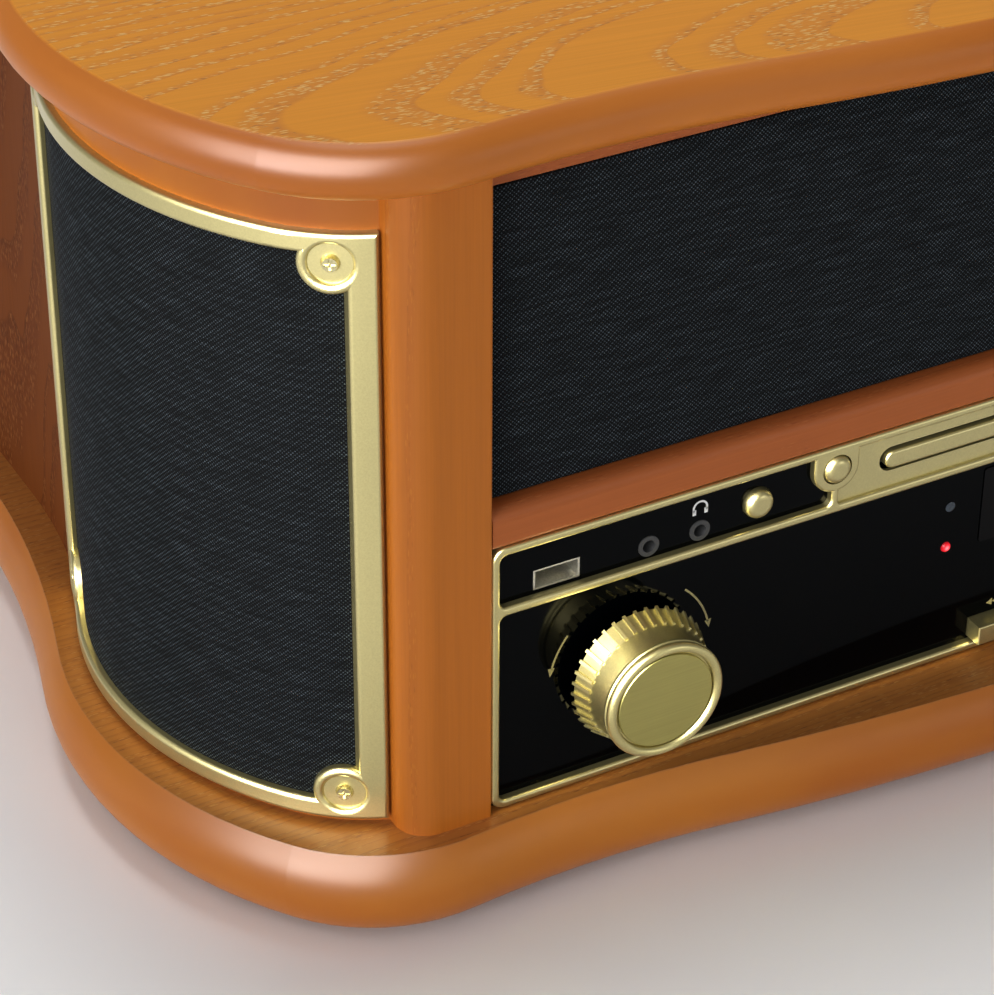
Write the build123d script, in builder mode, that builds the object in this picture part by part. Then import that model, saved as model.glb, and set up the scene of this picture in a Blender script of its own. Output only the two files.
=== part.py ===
from build123d import *
import os

# Stereo music centre: a wooden cabinet between two serpentine slabs, the upper one a hinged lid over a
# turntable. Curved corner columns hold the speakers, and the front carries the control panel.
# Millimetres, +Z up, front towards -Y, origin under the middle of the footprint.

os.makedirs("parts", exist_ok=True)

# Driving dimensions -------------------------------------------------------------------------------
DEPTH = 360.0
FRONT = -DEPTH / 2
REAR = DEPTH / 2
FOOT_H = 5.0
PLINTH_H = 24.8
PLINTH_TOP = FOOT_H + PLINTH_H
BODY_TOP = 218.2
LID_BOTTOM = 218.5
LID_H = 14.5
LID_TOP = LID_BOTTOM + LID_H

# Upper edge of both slabs from the middle of the front to the straight side: tangent arcs as (radius,
# sweep in degrees). A negative radius curves inwards.
SLAB_START = (0, FRONT)
SLAB_ARCS = [(760, 8.6), (-320, 13.9), (48, 57.6), (120, 54.6), (-324, 16.9)]

# Bowed face of each slab: top, fullest and lowest point, as (outwards from the upper edge, height).
PLINTH_BOW = [(0, PLINTH_TOP), (5.1, 17.9), (-1.0, FOOT_H)]
LID_BOW = [(0, LID_TOP), (5.5, 226.2), (-1.0, LID_BOTTOM)]

# Outside of the cabinet wall from the pilaster round the speaker corner to the straight side.
WALL_START = (-200, -155.1)
WALL_HEADING = 166.8
WALL_ARCS = [(50.7, 38.6), (101, 58.5), (-212, 20.3)]
WALL_T = 10.0
WALL_BACK = 172.0
COLUMN_END_Y = -19.4

PILASTER_X = (-206.8, -183.0)
PILASTER_FACE = -164.3
FRAME_PROUD = 2.4
FRAME_Z = (31.6, 203.0)
FRAME_X = -207.4
SCREW_HEAD_R = 2.4

CLOTH_FACE = -158.7
CLOTH_Z = (123.6, 209.7)
PANEL_HALF = 182.7
PANEL_Z = (30.3, 111.5)
BEZEL_FACE = -163.6
FASCIA_FACE = -161.2
FASCIA_T = 2.4
FASCIA_BACK = FASCIA_FACE + FASCIA_T
BAR_Z = (90.9, 93.4)
LIP = 2.4
PLATE_HALF = 82.4

KNOB_X = 141.0
KNOB_Z = 62.0
KNOB_R = 16.8
KNOB_L = 19.0
SHAFT_R = 3.0
RUN_FIT = 0.05
GAP = 0.3

DOME_X, DOME_Z, DOME_R = 104.3, 100.5, 4.2
ROUND_X, ROUND_Z, ROUND_R = 81.4, 104.6, 4.1
BOSS_R = 6.9
KEY_W, KEY_H, KEY_Z = 15.4, 5.8, 36.5
KEY_PITCH = 16.5
KEY_FACE = -166.8
USB_X, JACK_X, SOCKET_Z = -163.0, (-136.5, -121.4), 97.2
JACK_BORE_R = 1.8

DISC_Z = 102.0
TRAY_HALF = 65.5
TRAY_Y = (-159.8, -12.0)
TRAY_Z = (99.8, 104.2)
DISC_Y = -96.5
DISC_R = 60.5
TRAVERSE_PIVOT = (-18.0, 89.0)

DECK_Z = (174.5, 178.5)
PLATTER_XY = (-38.0, 8.5)
PLATTER_R = 112.0
SUB_RING_R = 56.0
PULLEY_R = 5.0
PULLEY_REACH = 78.0
ARM_XY = (152.0, 112.0)
ARM_Z = 203.0
ARM_REACH = 220.0
HINGE_X = 150.0
HINGE_AXIS = (177.0, 215.9)
BARREL_R = 2.7

SPEAKER_AT = (-219.0, -84.0, 112.0)
SPEAKER_TURN = 9.85


# Helpers ------------------------------------------------------------------------------------------
def arc_chain(start, heading, arcs, inset):
    """Start, middle and end of each tangent arc, moved towards the inside by inset."""
    here = Vector(*start) + Vector(1, 0).rotate(Axis.Z, heading - 90) * inset
    chain = []
    for radius, sweep in arcs:
        turn = -sweep if radius > 0 else sweep
        centre = here + Vector(1, 0).rotate(Axis.Z, heading - 90) * (radius - inset)
        spoke = here - centre
        end = centre + spoke.rotate(Axis.Z, turn)
        chain.append((here, centre + spoke.rotate(Axis.Z, turn / 2), end))
        here = end
        heading += turn
    return chain


def wall_chain(inset):
    return arc_chain(WALL_START, WALL_HEADING, WALL_ARCS, inset)


def closed_plan(chain, back):
    """Left half of a plan drawn from its arcs, with its mirror image."""
    first = chain[0][0]
    if abs(first.X) > 0:
        Line((0, first.Y), first)
    for points in chain:
        ThreePointArc(*points)
    corner = chain[-1][2]
    Polyline(corner, (corner.X, back), (0, back))
    mirror(about=Plane.YZ)


def slab_plan(inset):
    closed_plan(arc_chain(SLAB_START, 180, SLAB_ARCS, inset), REAR - inset)


def inside_plan(inset, back):
    closed_plan(wall_chain(inset), back)


def wall_strip(outer, inner):
    """Plan of the left wall between two offsets from its outside."""
    for chain in (wall_chain(outer), wall_chain(inner)):
        for points in chain:
            ThreePointArc(*points)
        Line(chain[-1][2], (chain[-1][2].X, WALL_BACK))
    Line(wall_chain(outer)[0][0], wall_chain(inner)[0][0])
    Line((wall_chain(outer)[-1][2].X, WALL_BACK), (wall_chain(inner)[-1][2].X, WALL_BACK))


def wall_plane(index, fraction, height):
    """Plane on the outside of the left wall, part of the way along one of its arcs, facing out."""
    start, middle, end = wall_chain(0)[index]
    arc = ThreePointArc(start, middle, end, mode=Mode.PRIVATE)
    point = arc @ fraction
    tangent = arc % fraction
    return Plane(origin=(point.X, point.Y, height), x_dir=tangent, z_dir=tangent.rotate(Axis.Z, 90))


def front_plane(y, x=0, z=0):
    """Upright plane at depth y that faces the front, X to the right and Z up."""
    return Plane(origin=(x, y, z), x_dir=(1, 0, 0), z_dir=(0, -1, 0))


def low_rect(x0, y0, x1, y1):
    """Corner-to-corner rectangle, centred by its own location."""
    return Pos((x0 + x1) / 2, (y0 + y1) / 2) * Rectangle(x1 - x0, y1 - y0, mode=Mode.PRIVATE)


def span_box(x, y, z):
    """Box between two limits on each axis."""
    centre = Pos((x[0] + x[1]) / 2, (y[0] + y[1]) / 2, (z[0] + z[1]) / 2)
    return centre * Box(x[1] - x[0], y[1] - y[0], z[1] - z[0], mode=Mode.PRIVATE)


def rim_edges(faces):
    """Edges that belong to only one of the faces."""
    edges = [edge for face in faces for edge in face.edges()]
    return [edge for edge in edges if sum(edge.is_same(other) for other in edges) == 1]


def save(builder, name):
    builder.part.label = name
    export_step(builder.part, f"parts/{name}.step")


def save_pair(left, name):
    """Write the left piece and its mirror image as the right one."""
    save(left, f"{name}_left")
    with BuildPart() as right:
        mirror(left.part, about=Plane.YZ)
    save(right, f"{name}_right")


# Cabinet: slabs -----------------------------------------------------------------------------------
RING_W = 38.0
PANEL_RABBET = 32.0


def bowed_rim(bow, width):
    """Rim with a bowed face that runs round the front and both sides of a slab."""
    chain = arc_chain(SLAB_START, 180, SLAB_ARCS, 0)
    corner = chain[-1][2]
    top, fullest, low = [(FRONT - out, height) for out, height in bow]
    with BuildPart() as rim:
        with BuildLine():
            for points in chain:
                ThreePointArc(*points)
            Line(corner, (corner.X, REAR))
        with BuildSketch(Plane.YZ):
            with BuildLine():
                ThreePointArc(top, fullest, low)
                Polyline(low, (FRONT + width, low[1]), (FRONT + width, top[1]), top)
            make_face()
        sweep()
        mirror(about=Plane.YZ)
    return rim.part


plinth_rim = bowed_rim(PLINTH_BOW, RING_W)
with BuildPart() as plinth:
    add(plinth_rim)
    side_x = arc_chain(SLAB_START, 180, SLAB_ARCS, 0)[-1][2].X
    add(span_box((side_x + 1, -side_x - 1), (REAR - RING_W, REAR), (FOOT_H, PLINTH_TOP)))
    with BuildSketch(Plane.XY.offset(FOOT_H)):
        with BuildLine():
            slab_plan(PANEL_RABBET)
        make_face()
    extrude(amount=7, mode=Mode.SUBTRACT)
save(plinth, "plinth")

BASE_Z = (7.2, 11.8)
with BuildPart() as bottom_panel:
    with BuildSketch(Plane.XY.offset(BASE_Z[0])):
        with BuildLine():
            slab_plan(PANEL_RABBET + GAP)
        make_face()
        with GridLocations(16, 60, 9, 2):
            SlotOverall(44, 5, rotation=90, mode=Mode.SUBTRACT)
    extrude(amount=BASE_Z[1] - BASE_Z[0])
save(bottom_panel, "bottom_panel")

FOOT_AT = [(-236, -85), (236, -85), (-222, 150), (222, 150)]
with BuildPart() as rubber_feet:
    with BuildSketch(Plane.XY):
        with Locations(*FOOT_AT):
            Circle(11)
    extrude(amount=FOOT_H)
    chamfer(rubber_feet.edges().group_by(Axis.Z)[0], length=1)
save(rubber_feet, "rubber_feet")

LID_RIM = 26.0
LID_CORE = 6.0
LID_HOLLOW = 6.0
LEAF_W = 50.0
LEAF_T = 1.6
LEAF_TOP = 229.0

lid_rim = bowed_rim(LID_BOW, 2 * LID_CORE)
with BuildPart() as lid:
    with BuildSketch(Plane.XY.offset(LID_BOTTOM)):
        with BuildLine():
            closed_plan(arc_chain(SLAB_START, 180, SLAB_ARCS, LID_CORE), REAR)
        make_face()
    extrude(amount=LID_H)
    add(lid_rim)
    with BuildSketch(Plane.XY.offset(LID_BOTTOM)):
        with BuildLine():
            slab_plan(LID_RIM)
        make_face()
    extrude(amount=LID_HOLLOW, mode=Mode.SUBTRACT)
    for side in (-1, 1):
        leaf_x = (side * HINGE_X - LEAF_W / 2 - GAP, side * HINGE_X + LEAF_W / 2 + GAP)
        add(span_box(leaf_x, (REAR - LEAF_T, REAR + 1), (LID_BOTTOM - 1, LEAF_TOP)), mode=Mode.SUBTRACT)
        with BuildSketch(Plane.YZ.offset(leaf_x[0])):
            with Locations(HINGE_AXIS):
                Circle(BARREL_R + GAP)
            with BuildLine():
                Polyline((HINGE_AXIS[0], HINGE_AXIS[1] - 6), (REAR + 1, HINGE_AXIS[1] - 6),
                         (REAR + 1, LID_BOTTOM + 3), (HINGE_AXIS[0], LID_BOTTOM + 0.4), close=True)
            make_face()
        extrude(amount=leaf_x[1] - leaf_x[0], mode=Mode.SUBTRACT)
save(lid, "lid")

# Cabinet: walls -----------------------------------------------------------------------------------
COLUMN_WINDOW_Z = (35.2, 199.4)
COLUMN_WINDOW_X = -212.4
COLUMN_WINDOW_Y = -23.0
FAR = 400.0

# Each speaker frame is screwed to four blocks left standing in the corners of the column's window.
SCREW_DROP = 8.2
SCREW_ARCS = [(0, 0.54), (2, 0.17)]
SCREW_Z = (FRAME_Z[0] + SCREW_DROP, FRAME_Z[1] - SCREW_DROP)
SCREW_PLANES = [wall_plane(index, along, z) for index, along in SCREW_ARCS for z in SCREW_Z]
BLOCK_R = 7.6
PILOT_R = 1.4

with BuildPart() as column_window:
    with BuildSketch(Plane.XY.offset(COLUMN_WINDOW_Z[0])):
        add(low_rect(-FAR, -FAR, COLUMN_WINDOW_X, COLUMN_WINDOW_Y))
    extrude(amount=COLUMN_WINDOW_Z[1] - COLUMN_WINDOW_Z[0])
    for plane in SCREW_PLANES:
        with BuildSketch(plane.offset(2)):
            Circle(BLOCK_R)
        extrude(amount=-16, mode=Mode.SUBTRACT)

with BuildPart() as column_left:
    with BuildSketch(Plane.XY.offset(PLINTH_TOP)):
        with BuildLine():
            wall_strip(0, WALL_T)
        make_face()
        add(low_rect(-FAR, -FAR, PILASTER_X[0], COLUMN_END_Y), mode=Mode.INTERSECT)
    extrude(amount=BODY_TOP - PLINTH_TOP)
    add(column_window.part, mode=Mode.SUBTRACT)
    for plane in SCREW_PLANES:
        with BuildSketch(plane.offset(1)):
            Circle(PILOT_R)
        extrude(amount=-7.5, mode=Mode.SUBTRACT)
save_pair(column_left, "column")

with BuildPart() as side_panel_left:
    with BuildSketch(Plane.XY.offset(PLINTH_TOP)):
        with BuildLine():
            wall_strip(0, WALL_T)
        make_face()
        add(low_rect(-FAR, COLUMN_END_Y, 0, FAR), mode=Mode.INTERSECT)
    extrude(amount=BODY_TOP - PLINTH_TOP)
save_pair(side_panel_left, "side_panel")

with BuildPart() as pilaster_left:
    add(span_box(PILASTER_X, (PILASTER_FACE, -146), (PLINTH_TOP, BODY_TOP)))
    outer_edge = pilaster_left.edges().filter_by(Axis.Z).sort_by(Axis.Y)[:2].sort_by(Axis.X)
    fillet(outer_edge[0], radius=8.5)
    inner_edge = pilaster_left.edges().filter_by(Axis.Z).sort_by(Axis.Y)[0:2].sort_by(Axis.X)
    fillet(inner_edge[-1], radius=0.8)
save_pair(pilaster_left, "pilaster")

RAIL_HALF = -PILASTER_X[1] - 0.2
with BuildPart() as top_rail:
    add(span_box((-RAIL_HALF, RAIL_HALF), (-158.2, -146), (CLOTH_Z[1] + 0.2, BODY_TOP)))
save(top_rail, "top_rail")

with BuildPart() as middle_rail:
    add(span_box((-RAIL_HALF, RAIL_HALF), (-163.9, -146), (PANEL_Z[1] + GAP, CLOTH_Z[0] - 0.2)))
    front_edges = middle_rail.faces().sort_by(Axis.Y)[0].edges().filter_by(Axis.X).sort_by(Axis.Z)
    fillet(front_edges[-1], radius=4)
    low_edge = middle_rail.faces().sort_by(Axis.Y)[0].edges().filter_by(Axis.X).sort_by(Axis.Z)
    fillet(low_edge[0], radius=2)
save(middle_rail, "middle_rail")

INLET_X, INLET_Z = -150.0, 52.0
LINE_X, LINE_Z = 80.0, 60.0
BACK_HALF = 220.2
with BuildPart() as back_panel:
    add(span_box((-BACK_HALF, BACK_HALF), (164, WALL_BACK), (PLINTH_TOP, BODY_TOP)))
    add(span_box((-BACK_HALF, BACK_HALF), (156, 164), (DECK_Z[0] - 8, DECK_Z[0])))
    with BuildSketch(Plane.XZ.offset(-164)):
        with Locations((INLET_X, INLET_Z)):
            Rectangle(26.4, 16.4)
        with Locations((LINE_X, LINE_Z)):
            Rectangle(40.4, 16.4)
        with Locations((0, 120)):
            with GridLocations(14, 0, 11, 1):
                SlotOverall(50, 5, rotation=90)
    extrude(amount=-8, mode=Mode.SUBTRACT)
save(back_panel, "back_panel")

# Hinges: two pairs of leaves with interlocking knuckles behind the lid's joint ----------------------
PIN_R = 1.2
KNUCKLE = 10.0
with BuildPart() as hinge_cabinet_leaves:
    for side in (-1, 1):
        centre = side * HINGE_X
        leaf_x = (centre - LEAF_W / 2, centre + LEAF_W / 2)
        knuckle_x = (centre - KNUCKLE + GAP, centre + KNUCKLE - GAP)
        add(span_box(leaf_x, (WALL_BACK, WALL_BACK + 1.4), (HINGE_AXIS[1] - 23, HINGE_AXIS[1] + 2)))
        web_z = (HINGE_AXIS[1] - 1.3, HINGE_AXIS[1] + 1.3)
        add(span_box(knuckle_x, (WALL_BACK + 1.4, HINGE_AXIS[0]), web_z))
        with BuildSketch(Plane.YZ.offset(knuckle_x[0])):
            with Locations(HINGE_AXIS):
                Circle(BARREL_R)
        extrude(amount=knuckle_x[1] - knuckle_x[0])
        with BuildSketch(Plane.YZ.offset(leaf_x[0])):
            with Locations(HINGE_AXIS):
                Circle(PIN_R)
        extrude(amount=LEAF_W)
save(hinge_cabinet_leaves, "hinge_cabinet_leaves")

with BuildPart() as hinge_lid_leaves:
    for side in (-1, 1):
        for end in (-1, 1):
            near = side * HINGE_X + end * KNUCKLE
            far = side * HINGE_X + end * LEAF_W / 2
            x = (min(near, far), max(near, far))
            with BuildSketch(Plane.YZ.offset(x[0])):
                with Locations(HINGE_AXIS):
                    Circle(BARREL_R)
                add(low_rect(REAR - LEAF_T, HINGE_AXIS[1], REAR, LID_BOTTOM + 4))
            extrude(amount=x[1] - x[0])
        leaf_x = (side * HINGE_X - LEAF_W / 2, side * HINGE_X + LEAF_W / 2)
        add(span_box(leaf_x, (REAR - LEAF_T, REAR), (LID_BOTTOM + 3.4, LEAF_TOP)))
        with BuildSketch(Plane.YZ.offset(leaf_x[0])):
            with Locations(HINGE_AXIS):
                Circle(PIN_R + RUN_FIT)
        extrude(amount=LEAF_W, mode=Mode.SUBTRACT)
save(hinge_lid_leaves, "hinge_lid_leaves")

# Speaker corners ----------------------------------------------------------------------------------
OPENING_Z = (37.2, 197.4)
OPENING_X = -214.4
OPENING_Y = -25.0
TAB_R = 8.1

with BuildPart() as frame_opening:
    with BuildSketch(Plane.XY.offset(OPENING_Z[0])):
        with BuildLine():
            wall_strip(-6, 4)
        make_face()
        add(low_rect(-FAR, -FAR, OPENING_X, OPENING_Y), mode=Mode.INTERSECT)
    extrude(amount=OPENING_Z[1] - OPENING_Z[0])
    for plane in SCREW_PLANES:
        with BuildSketch(plane.offset(-5)):
            Circle(TAB_R)
        extrude(amount=14, mode=Mode.SUBTRACT)

DISH_R = 5.4
DISH_FLOOR = 1.0
FRAME_ROUND = 1.2
with BuildPart() as grille_frame_left:
    with BuildSketch(Plane.XY.offset(FRAME_Z[0])):
        with BuildLine():
            wall_strip(-FRAME_PROUD, 0)
        make_face()
        add(low_rect(-FAR, -FAR, FRAME_X, COLUMN_END_Y), mode=Mode.INTERSECT)
    extrude(amount=FRAME_Z[1] - FRAME_Z[0])
    add(frame_opening.part, mode=Mode.SUBTRACT)
    for plane in SCREW_PLANES:
        with BuildSketch(plane.offset(DISH_FLOOR)):
            Circle(DISH_R)
        extrude(amount=6, mode=Mode.SUBTRACT)
        with BuildSketch(plane.offset(-3)):
            Circle(1.5)
        extrude(amount=6, mode=Mode.SUBTRACT)
    proud_radii = [abs(radius + FRAME_PROUD) for radius, sweep in WALL_ARCS]
    curved = [face for face in grille_frame_left.faces() if face.radius is not None]
    proud = [face for face in curved if any(abs(face.radius - radius) < 0.01 for radius in proud_radii)]
    fillet(rim_edges(proud), radius=FRAME_ROUND)
save_pair(grille_frame_left, "grille_frame")

CLOTH_EDGE = 0.3
with BuildPart() as grille_cloth_left:
    with BuildSketch(Plane.XY.offset(COLUMN_WINDOW_Z[0] + CLOTH_EDGE)):
        with BuildLine():
            wall_strip(0.1, 1.9)
        make_face()
        add(low_rect(-FAR, -FAR, COLUMN_WINDOW_X - CLOTH_EDGE, COLUMN_WINDOW_Y - CLOTH_EDGE),
            mode=Mode.INTERSECT)
    extrude(amount=COLUMN_WINDOW_Z[1] - COLUMN_WINDOW_Z[0] - 2 * CLOTH_EDGE)
    for plane in SCREW_PLANES:
        with BuildSketch(plane.offset(-6)):
            Circle(BLOCK_R + CLOTH_EDGE)
        extrude(amount=12, mode=Mode.SUBTRACT)
save_pair(grille_cloth_left, "grille_cloth")

# Cross-head screws hold the frames. Each one is a head, a shank and a cross recess.
with BuildPart() as screws_left:
    for plane in SCREW_PLANES:
        with BuildSketch(plane.offset(DISH_FLOOR)):
            Circle(SCREW_HEAD_R)
        extrude(amount=1.3, taper=24)
        with BuildSketch(plane.offset(DISH_FLOOR)):
            Circle(1.35)
        extrude(amount=-7)
        with BuildSketch(plane.offset(DISH_FLOOR + 0.6)):
            Rectangle(2.8, 0.6)
            Rectangle(0.6, 2.8)
        extrude(amount=2, mode=Mode.SUBTRACT)
with BuildPart() as grille_screws:
    add(screws_left.part)
    mirror(screws_left.part, about=Plane.YZ)
save(grille_screws, "grille_screws")

SPEAKER_OUT = Vector(-1, 0, 0).rotate(Axis.Z, SPEAKER_TURN)
SPEAKER_PLANE = Plane(origin=SPEAKER_AT, x_dir=SPEAKER_OUT.rotate(Axis.Z, 90), z_dir=SPEAKER_OUT)
BAFFLE_T = 10.0
BAFFLE_W = 112.0
DRIVER_R = 46.0
with BuildPart() as baffle_left:
    with BuildSketch(SPEAKER_PLANE):
        with Locations((0, (DECK_Z[0] + PLINTH_TOP) / 2 - SPEAKER_AT[2])):
            Rectangle(BAFFLE_W, DECK_Z[0] - PLINTH_TOP)
        Circle(DRIVER_R - 6, mode=Mode.SUBTRACT)
    extrude(amount=-BAFFLE_T)
with BuildPart() as speaker_baffles:
    add(baffle_left.part)
    mirror(baffle_left.part, about=Plane.YZ)
save(speaker_baffles, "speaker_baffles")

BASKET_Z = -24.0
with BuildPart() as driver_left:
    with BuildSketch(SPEAKER_PLANE):
        Circle(DRIVER_R)
    extrude(amount=3)
    with BuildSketch(SPEAKER_PLANE):
        Circle(DRIVER_R - 7)
    extrude(amount=-12)
    with BuildSketch(SPEAKER_PLANE.offset(-12)):
        Circle(DRIVER_R - 7)
    with BuildSketch(SPEAKER_PLANE.offset(BASKET_Z)):
        Circle(22)
    loft()
    with BuildSketch(SPEAKER_PLANE.offset(BASKET_Z)):
        Circle(30)
    extrude(amount=-14)
    with BuildSketch(SPEAKER_PLANE.offset(3)):
        Circle(DRIVER_R - 10)
    with BuildSketch(SPEAKER_PLANE.offset(-16)):
        Circle(12)
    loft(mode=Mode.SUBTRACT)
with BuildPart() as speaker_drivers:
    add(driver_left.part)
    mirror(driver_left.part, about=Plane.YZ)
save(speaker_drivers, "speaker_drivers")

# Front: cloth, bezel and glossy fascia --------------------------------------------------------------
with BuildPart() as front_cloth_panel:
    add(span_box((-RAIL_HALF, RAIL_HALF), (CLOTH_FACE, CLOTH_FACE + 7), CLOTH_Z))
    fillet(front_cloth_panel.faces().sort_by(Axis.Y)[0].edges(), radius=0.8)
save(front_cloth_panel, "front_cloth_panel")

PANEL_MID_Z = sum(PANEL_Z) / 2
PANEL_H = PANEL_Z[1] - PANEL_Z[0]
WINDOW_HALF = PANEL_HALF - LIP
LOWER_Z = (PANEL_Z[0] + LIP, BAR_Z[0])
UPPER_Z = (BAR_Z[1], PANEL_Z[1] - LIP)
SLOT_W, SLOT_H = 135.0, 7.4


def bosses():
    """Cut the two U-shaped bosses, which hang from the upper lip, out of a sketch of a hollow."""
    for side in (-1, 1):
        with Locations((side * ROUND_X, ROUND_Z)):
            Circle(BOSS_R, mode=Mode.SUBTRACT)
        with Locations((side * ROUND_X, (ROUND_Z + PANEL_Z[1]) / 2)):
            Rectangle(2 * BOSS_R, PANEL_Z[1] - ROUND_Z, mode=Mode.SUBTRACT)


BEAD_ROUND = 0.9
RECESS = 1.2
with BuildPart() as control_bezel:
    with BuildSketch(front_plane(FASCIA_FACE, 0, PANEL_MID_Z)):
        RectangleRounded(2 * PANEL_HALF, PANEL_H, 4)
    extrude(amount=FASCIA_FACE - BEZEL_FACE)
    with BuildSketch(front_plane(FASCIA_FACE)):
        with Locations((0, sum(LOWER_Z) / 2)):
            RectangleRounded(2 * WINDOW_HALF, LOWER_Z[1] - LOWER_Z[0], 2)
        for side in (-1, 1):
            with Locations((side * (WINDOW_HALF + PLATE_HALF) / 2, sum(UPPER_Z) / 2)):
                RectangleRounded(WINDOW_HALF - PLATE_HALF, UPPER_Z[1] - UPPER_Z[0], 2)
        bosses()
    extrude(amount=10, mode=Mode.SUBTRACT)
    with BuildSketch(front_plane(BEZEL_FACE + RECESS)):
        with Locations((0, sum(UPPER_Z) / 2)):
            RectangleRounded(2 * PLATE_HALF - 4.2, UPPER_Z[1] - UPPER_Z[0], 1)
        bosses()
    extrude(amount=3, mode=Mode.SUBTRACT)
    fillet(control_bezel.faces().sort_by(Axis.Y)[0].edges(), radius=BEAD_ROUND)
    with BuildSketch(front_plane(FASCIA_FACE)):
        with Locations((0, DISC_Z)):
            SlotOverall(SLOT_W, SLOT_H)
        for side in (-1, 1):
            with Locations((side * ROUND_X, ROUND_Z)):
                Circle(ROUND_R + GAP)
    extrude(amount=5, mode=Mode.SUBTRACT)
save(control_bezel, "control_bezel")

LENS_W, LENS_H, LENS_Z = 63.6, 23.6, 76.4
LED_X, LED_Z, LED_R = -42.5, 66.4, 1.5
with BuildPart() as control_fascia:
    with BuildSketch(front_plane(FASCIA_BACK)):
        with Locations((0, PANEL_MID_Z)):
            Rectangle(2 * PANEL_HALF, PANEL_H)
        with Locations((0, DISC_Z)):
            SlotOverall(SLOT_W + 1.6, SLOT_H + 1.2, mode=Mode.SUBTRACT)
        with Locations((-KNOB_X, KNOB_Z), (KNOB_X, KNOB_Z)):
            Circle(SHAFT_R + 0.6, mode=Mode.SUBTRACT)
        with Locations((-DOME_X, DOME_Z), (DOME_X, DOME_Z)):
            Circle(DOME_R + GAP, mode=Mode.SUBTRACT)
        with Locations((-ROUND_X, ROUND_Z), (ROUND_X, ROUND_Z)):
            Circle(ROUND_R + GAP, mode=Mode.SUBTRACT)
        with Locations((0, KEY_Z)):
            with GridLocations(KEY_PITCH, 0, 4, 1):
                Rectangle(KEY_W + 2 * GAP, KEY_H + 2 * GAP, mode=Mode.SUBTRACT)
        with Locations((USB_X, SOCKET_Z)):
            Rectangle(13.8, 6.4, mode=Mode.SUBTRACT)
        with Locations(*[(x, SOCKET_Z) for x in JACK_X]):
            Circle(3.1, mode=Mode.SUBTRACT)
        with Locations((0, LENS_Z)):
            RectangleRounded(LENS_W + 0.2, LENS_H + 0.2, 1, mode=Mode.SUBTRACT)
        with Locations((LED_X, LED_Z)):
            Circle(LED_R + 0.1, mode=Mode.SUBTRACT)
    extrude(amount=FASCIA_T)
save(control_fascia, "control_fascia")

# Display: lens, glass cell, circuit board and the power lamp soldered beside it.
with BuildPart() as display_module:
    with BuildSketch(front_plane(FASCIA_BACK, 0, LENS_Z)):
        RectangleRounded(LENS_W, LENS_H, 1)
    extrude(amount=FASCIA_T + 0.3)
    add(span_box((-34, 34), (FASCIA_BACK, -152), (LENS_Z - 14, LENS_Z + 14)))
    add(span_box((-52, 52), (-152, -150.4), (LENS_Z - 14, LENS_Z + 16)))
    with BuildSketch(front_plane(-152, LED_X, LED_Z)):
        Circle(LED_R)
    extrude(amount=10)
    fillet(display_module.faces().sort_by(Axis.Y)[0].edges(), radius=0.9)
save(display_module, "display_module")


# Controls -----------------------------------------------------------------------------------------
RIB_COUNT = 38
RIB_W = 0.9
RIB_ROOT = 16.0
RIB_TIP = (19.8, 17.9)
KNOB_STAND = 4.2
RIB_END = 9.6
SHAFT_IN = 13.4

# Turned outline of a knob as (radius, distance out of the fascia), from the shaft to the ring.
KNOB_BODY = [
    (0, -SHAFT_IN), (SHAFT_R, -SHAFT_IN), (SHAFT_R, 2.4), (8, 2.4), (8, KNOB_STAND), (18.9, KNOB_STAND),
    (17.3, RIB_END), (16.4, 15.2), (KNOB_R + 0.1, 15.6), (KNOB_R + 0.1, 16.3), (KNOB_R - 0.2, 16.6),
]
KNOB_RING = [(KNOB_R - 0.2, 16.6), (KNOB_R - 1.2, KNOB_L), (KNOB_R - 2.5, KNOB_L - 0.9)]
KNOB_DISC = [
    (KNOB_R - 2.5, KNOB_L - 0.9), (KNOB_R - 2.6, KNOB_L - 1.8), (KNOB_R - 3.0, KNOB_L - 1.8),
    (KNOB_R - 3.0, KNOB_L - 0.9), (KNOB_R - 3.2, KNOB_L - 0.7), (0, KNOB_L - 0.7),
]

with BuildPart() as knob_rib:
    with BuildSketch(Plane.XZ):
        with BuildLine():
            Polyline((RIB_ROOT, KNOB_STAND), (RIB_TIP[0], KNOB_STAND), (RIB_TIP[1], RIB_END),
                     (RIB_ROOT, RIB_END), close=True)
        make_face()
    extrude(amount=RIB_W / 2, both=True)

with BuildPart() as knob_body:
    with BuildSketch(Plane.XZ):
        with BuildLine():
            Polyline(*KNOB_BODY)
            ThreePointArc(*KNOB_RING)
            Polyline(*KNOB_DISC)
            Line(KNOB_DISC[-1], KNOB_BODY[0])
        make_face()
    revolve(axis=Axis.Z)
    with PolarLocations(0, RIB_COUNT):
        add(knob_rib.part)

for name, x in (("volume_knob", -KNOB_X), ("tuning_knob", KNOB_X)):
    with BuildPart() as knob:
        add(front_plane(FASCIA_FACE, x, KNOB_Z).location * knob_body.part)
    save(knob, name)

ENCODER_Y = (FASCIA_BACK + 7, FASCIA_BACK + 13)
with BuildPart() as rotary_encoders:
    for x in (-KNOB_X, KNOB_X):
        add(span_box((x - 6.5, x + 6.5), ENCODER_Y, (KNOB_Z - 6.5, KNOB_Z + 6.5)))
        with BuildSketch(front_plane(ENCODER_Y[0], x, KNOB_Z)):
            Circle(4.8)
        extrude(amount=ENCODER_Y[0] - FASCIA_BACK)
        with BuildSketch(front_plane(ENCODER_Y[1] - 1.5, x, KNOB_Z)):
            Circle(SHAFT_R + RUN_FIT)
        extrude(amount=30, mode=Mode.SUBTRACT)
save(rotary_encoders, "rotary_encoders")

STEM_END = -155.6
DOME_ROUND = 2.2
FLANGE_Y = FASCIA_BACK + 0.3


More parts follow.
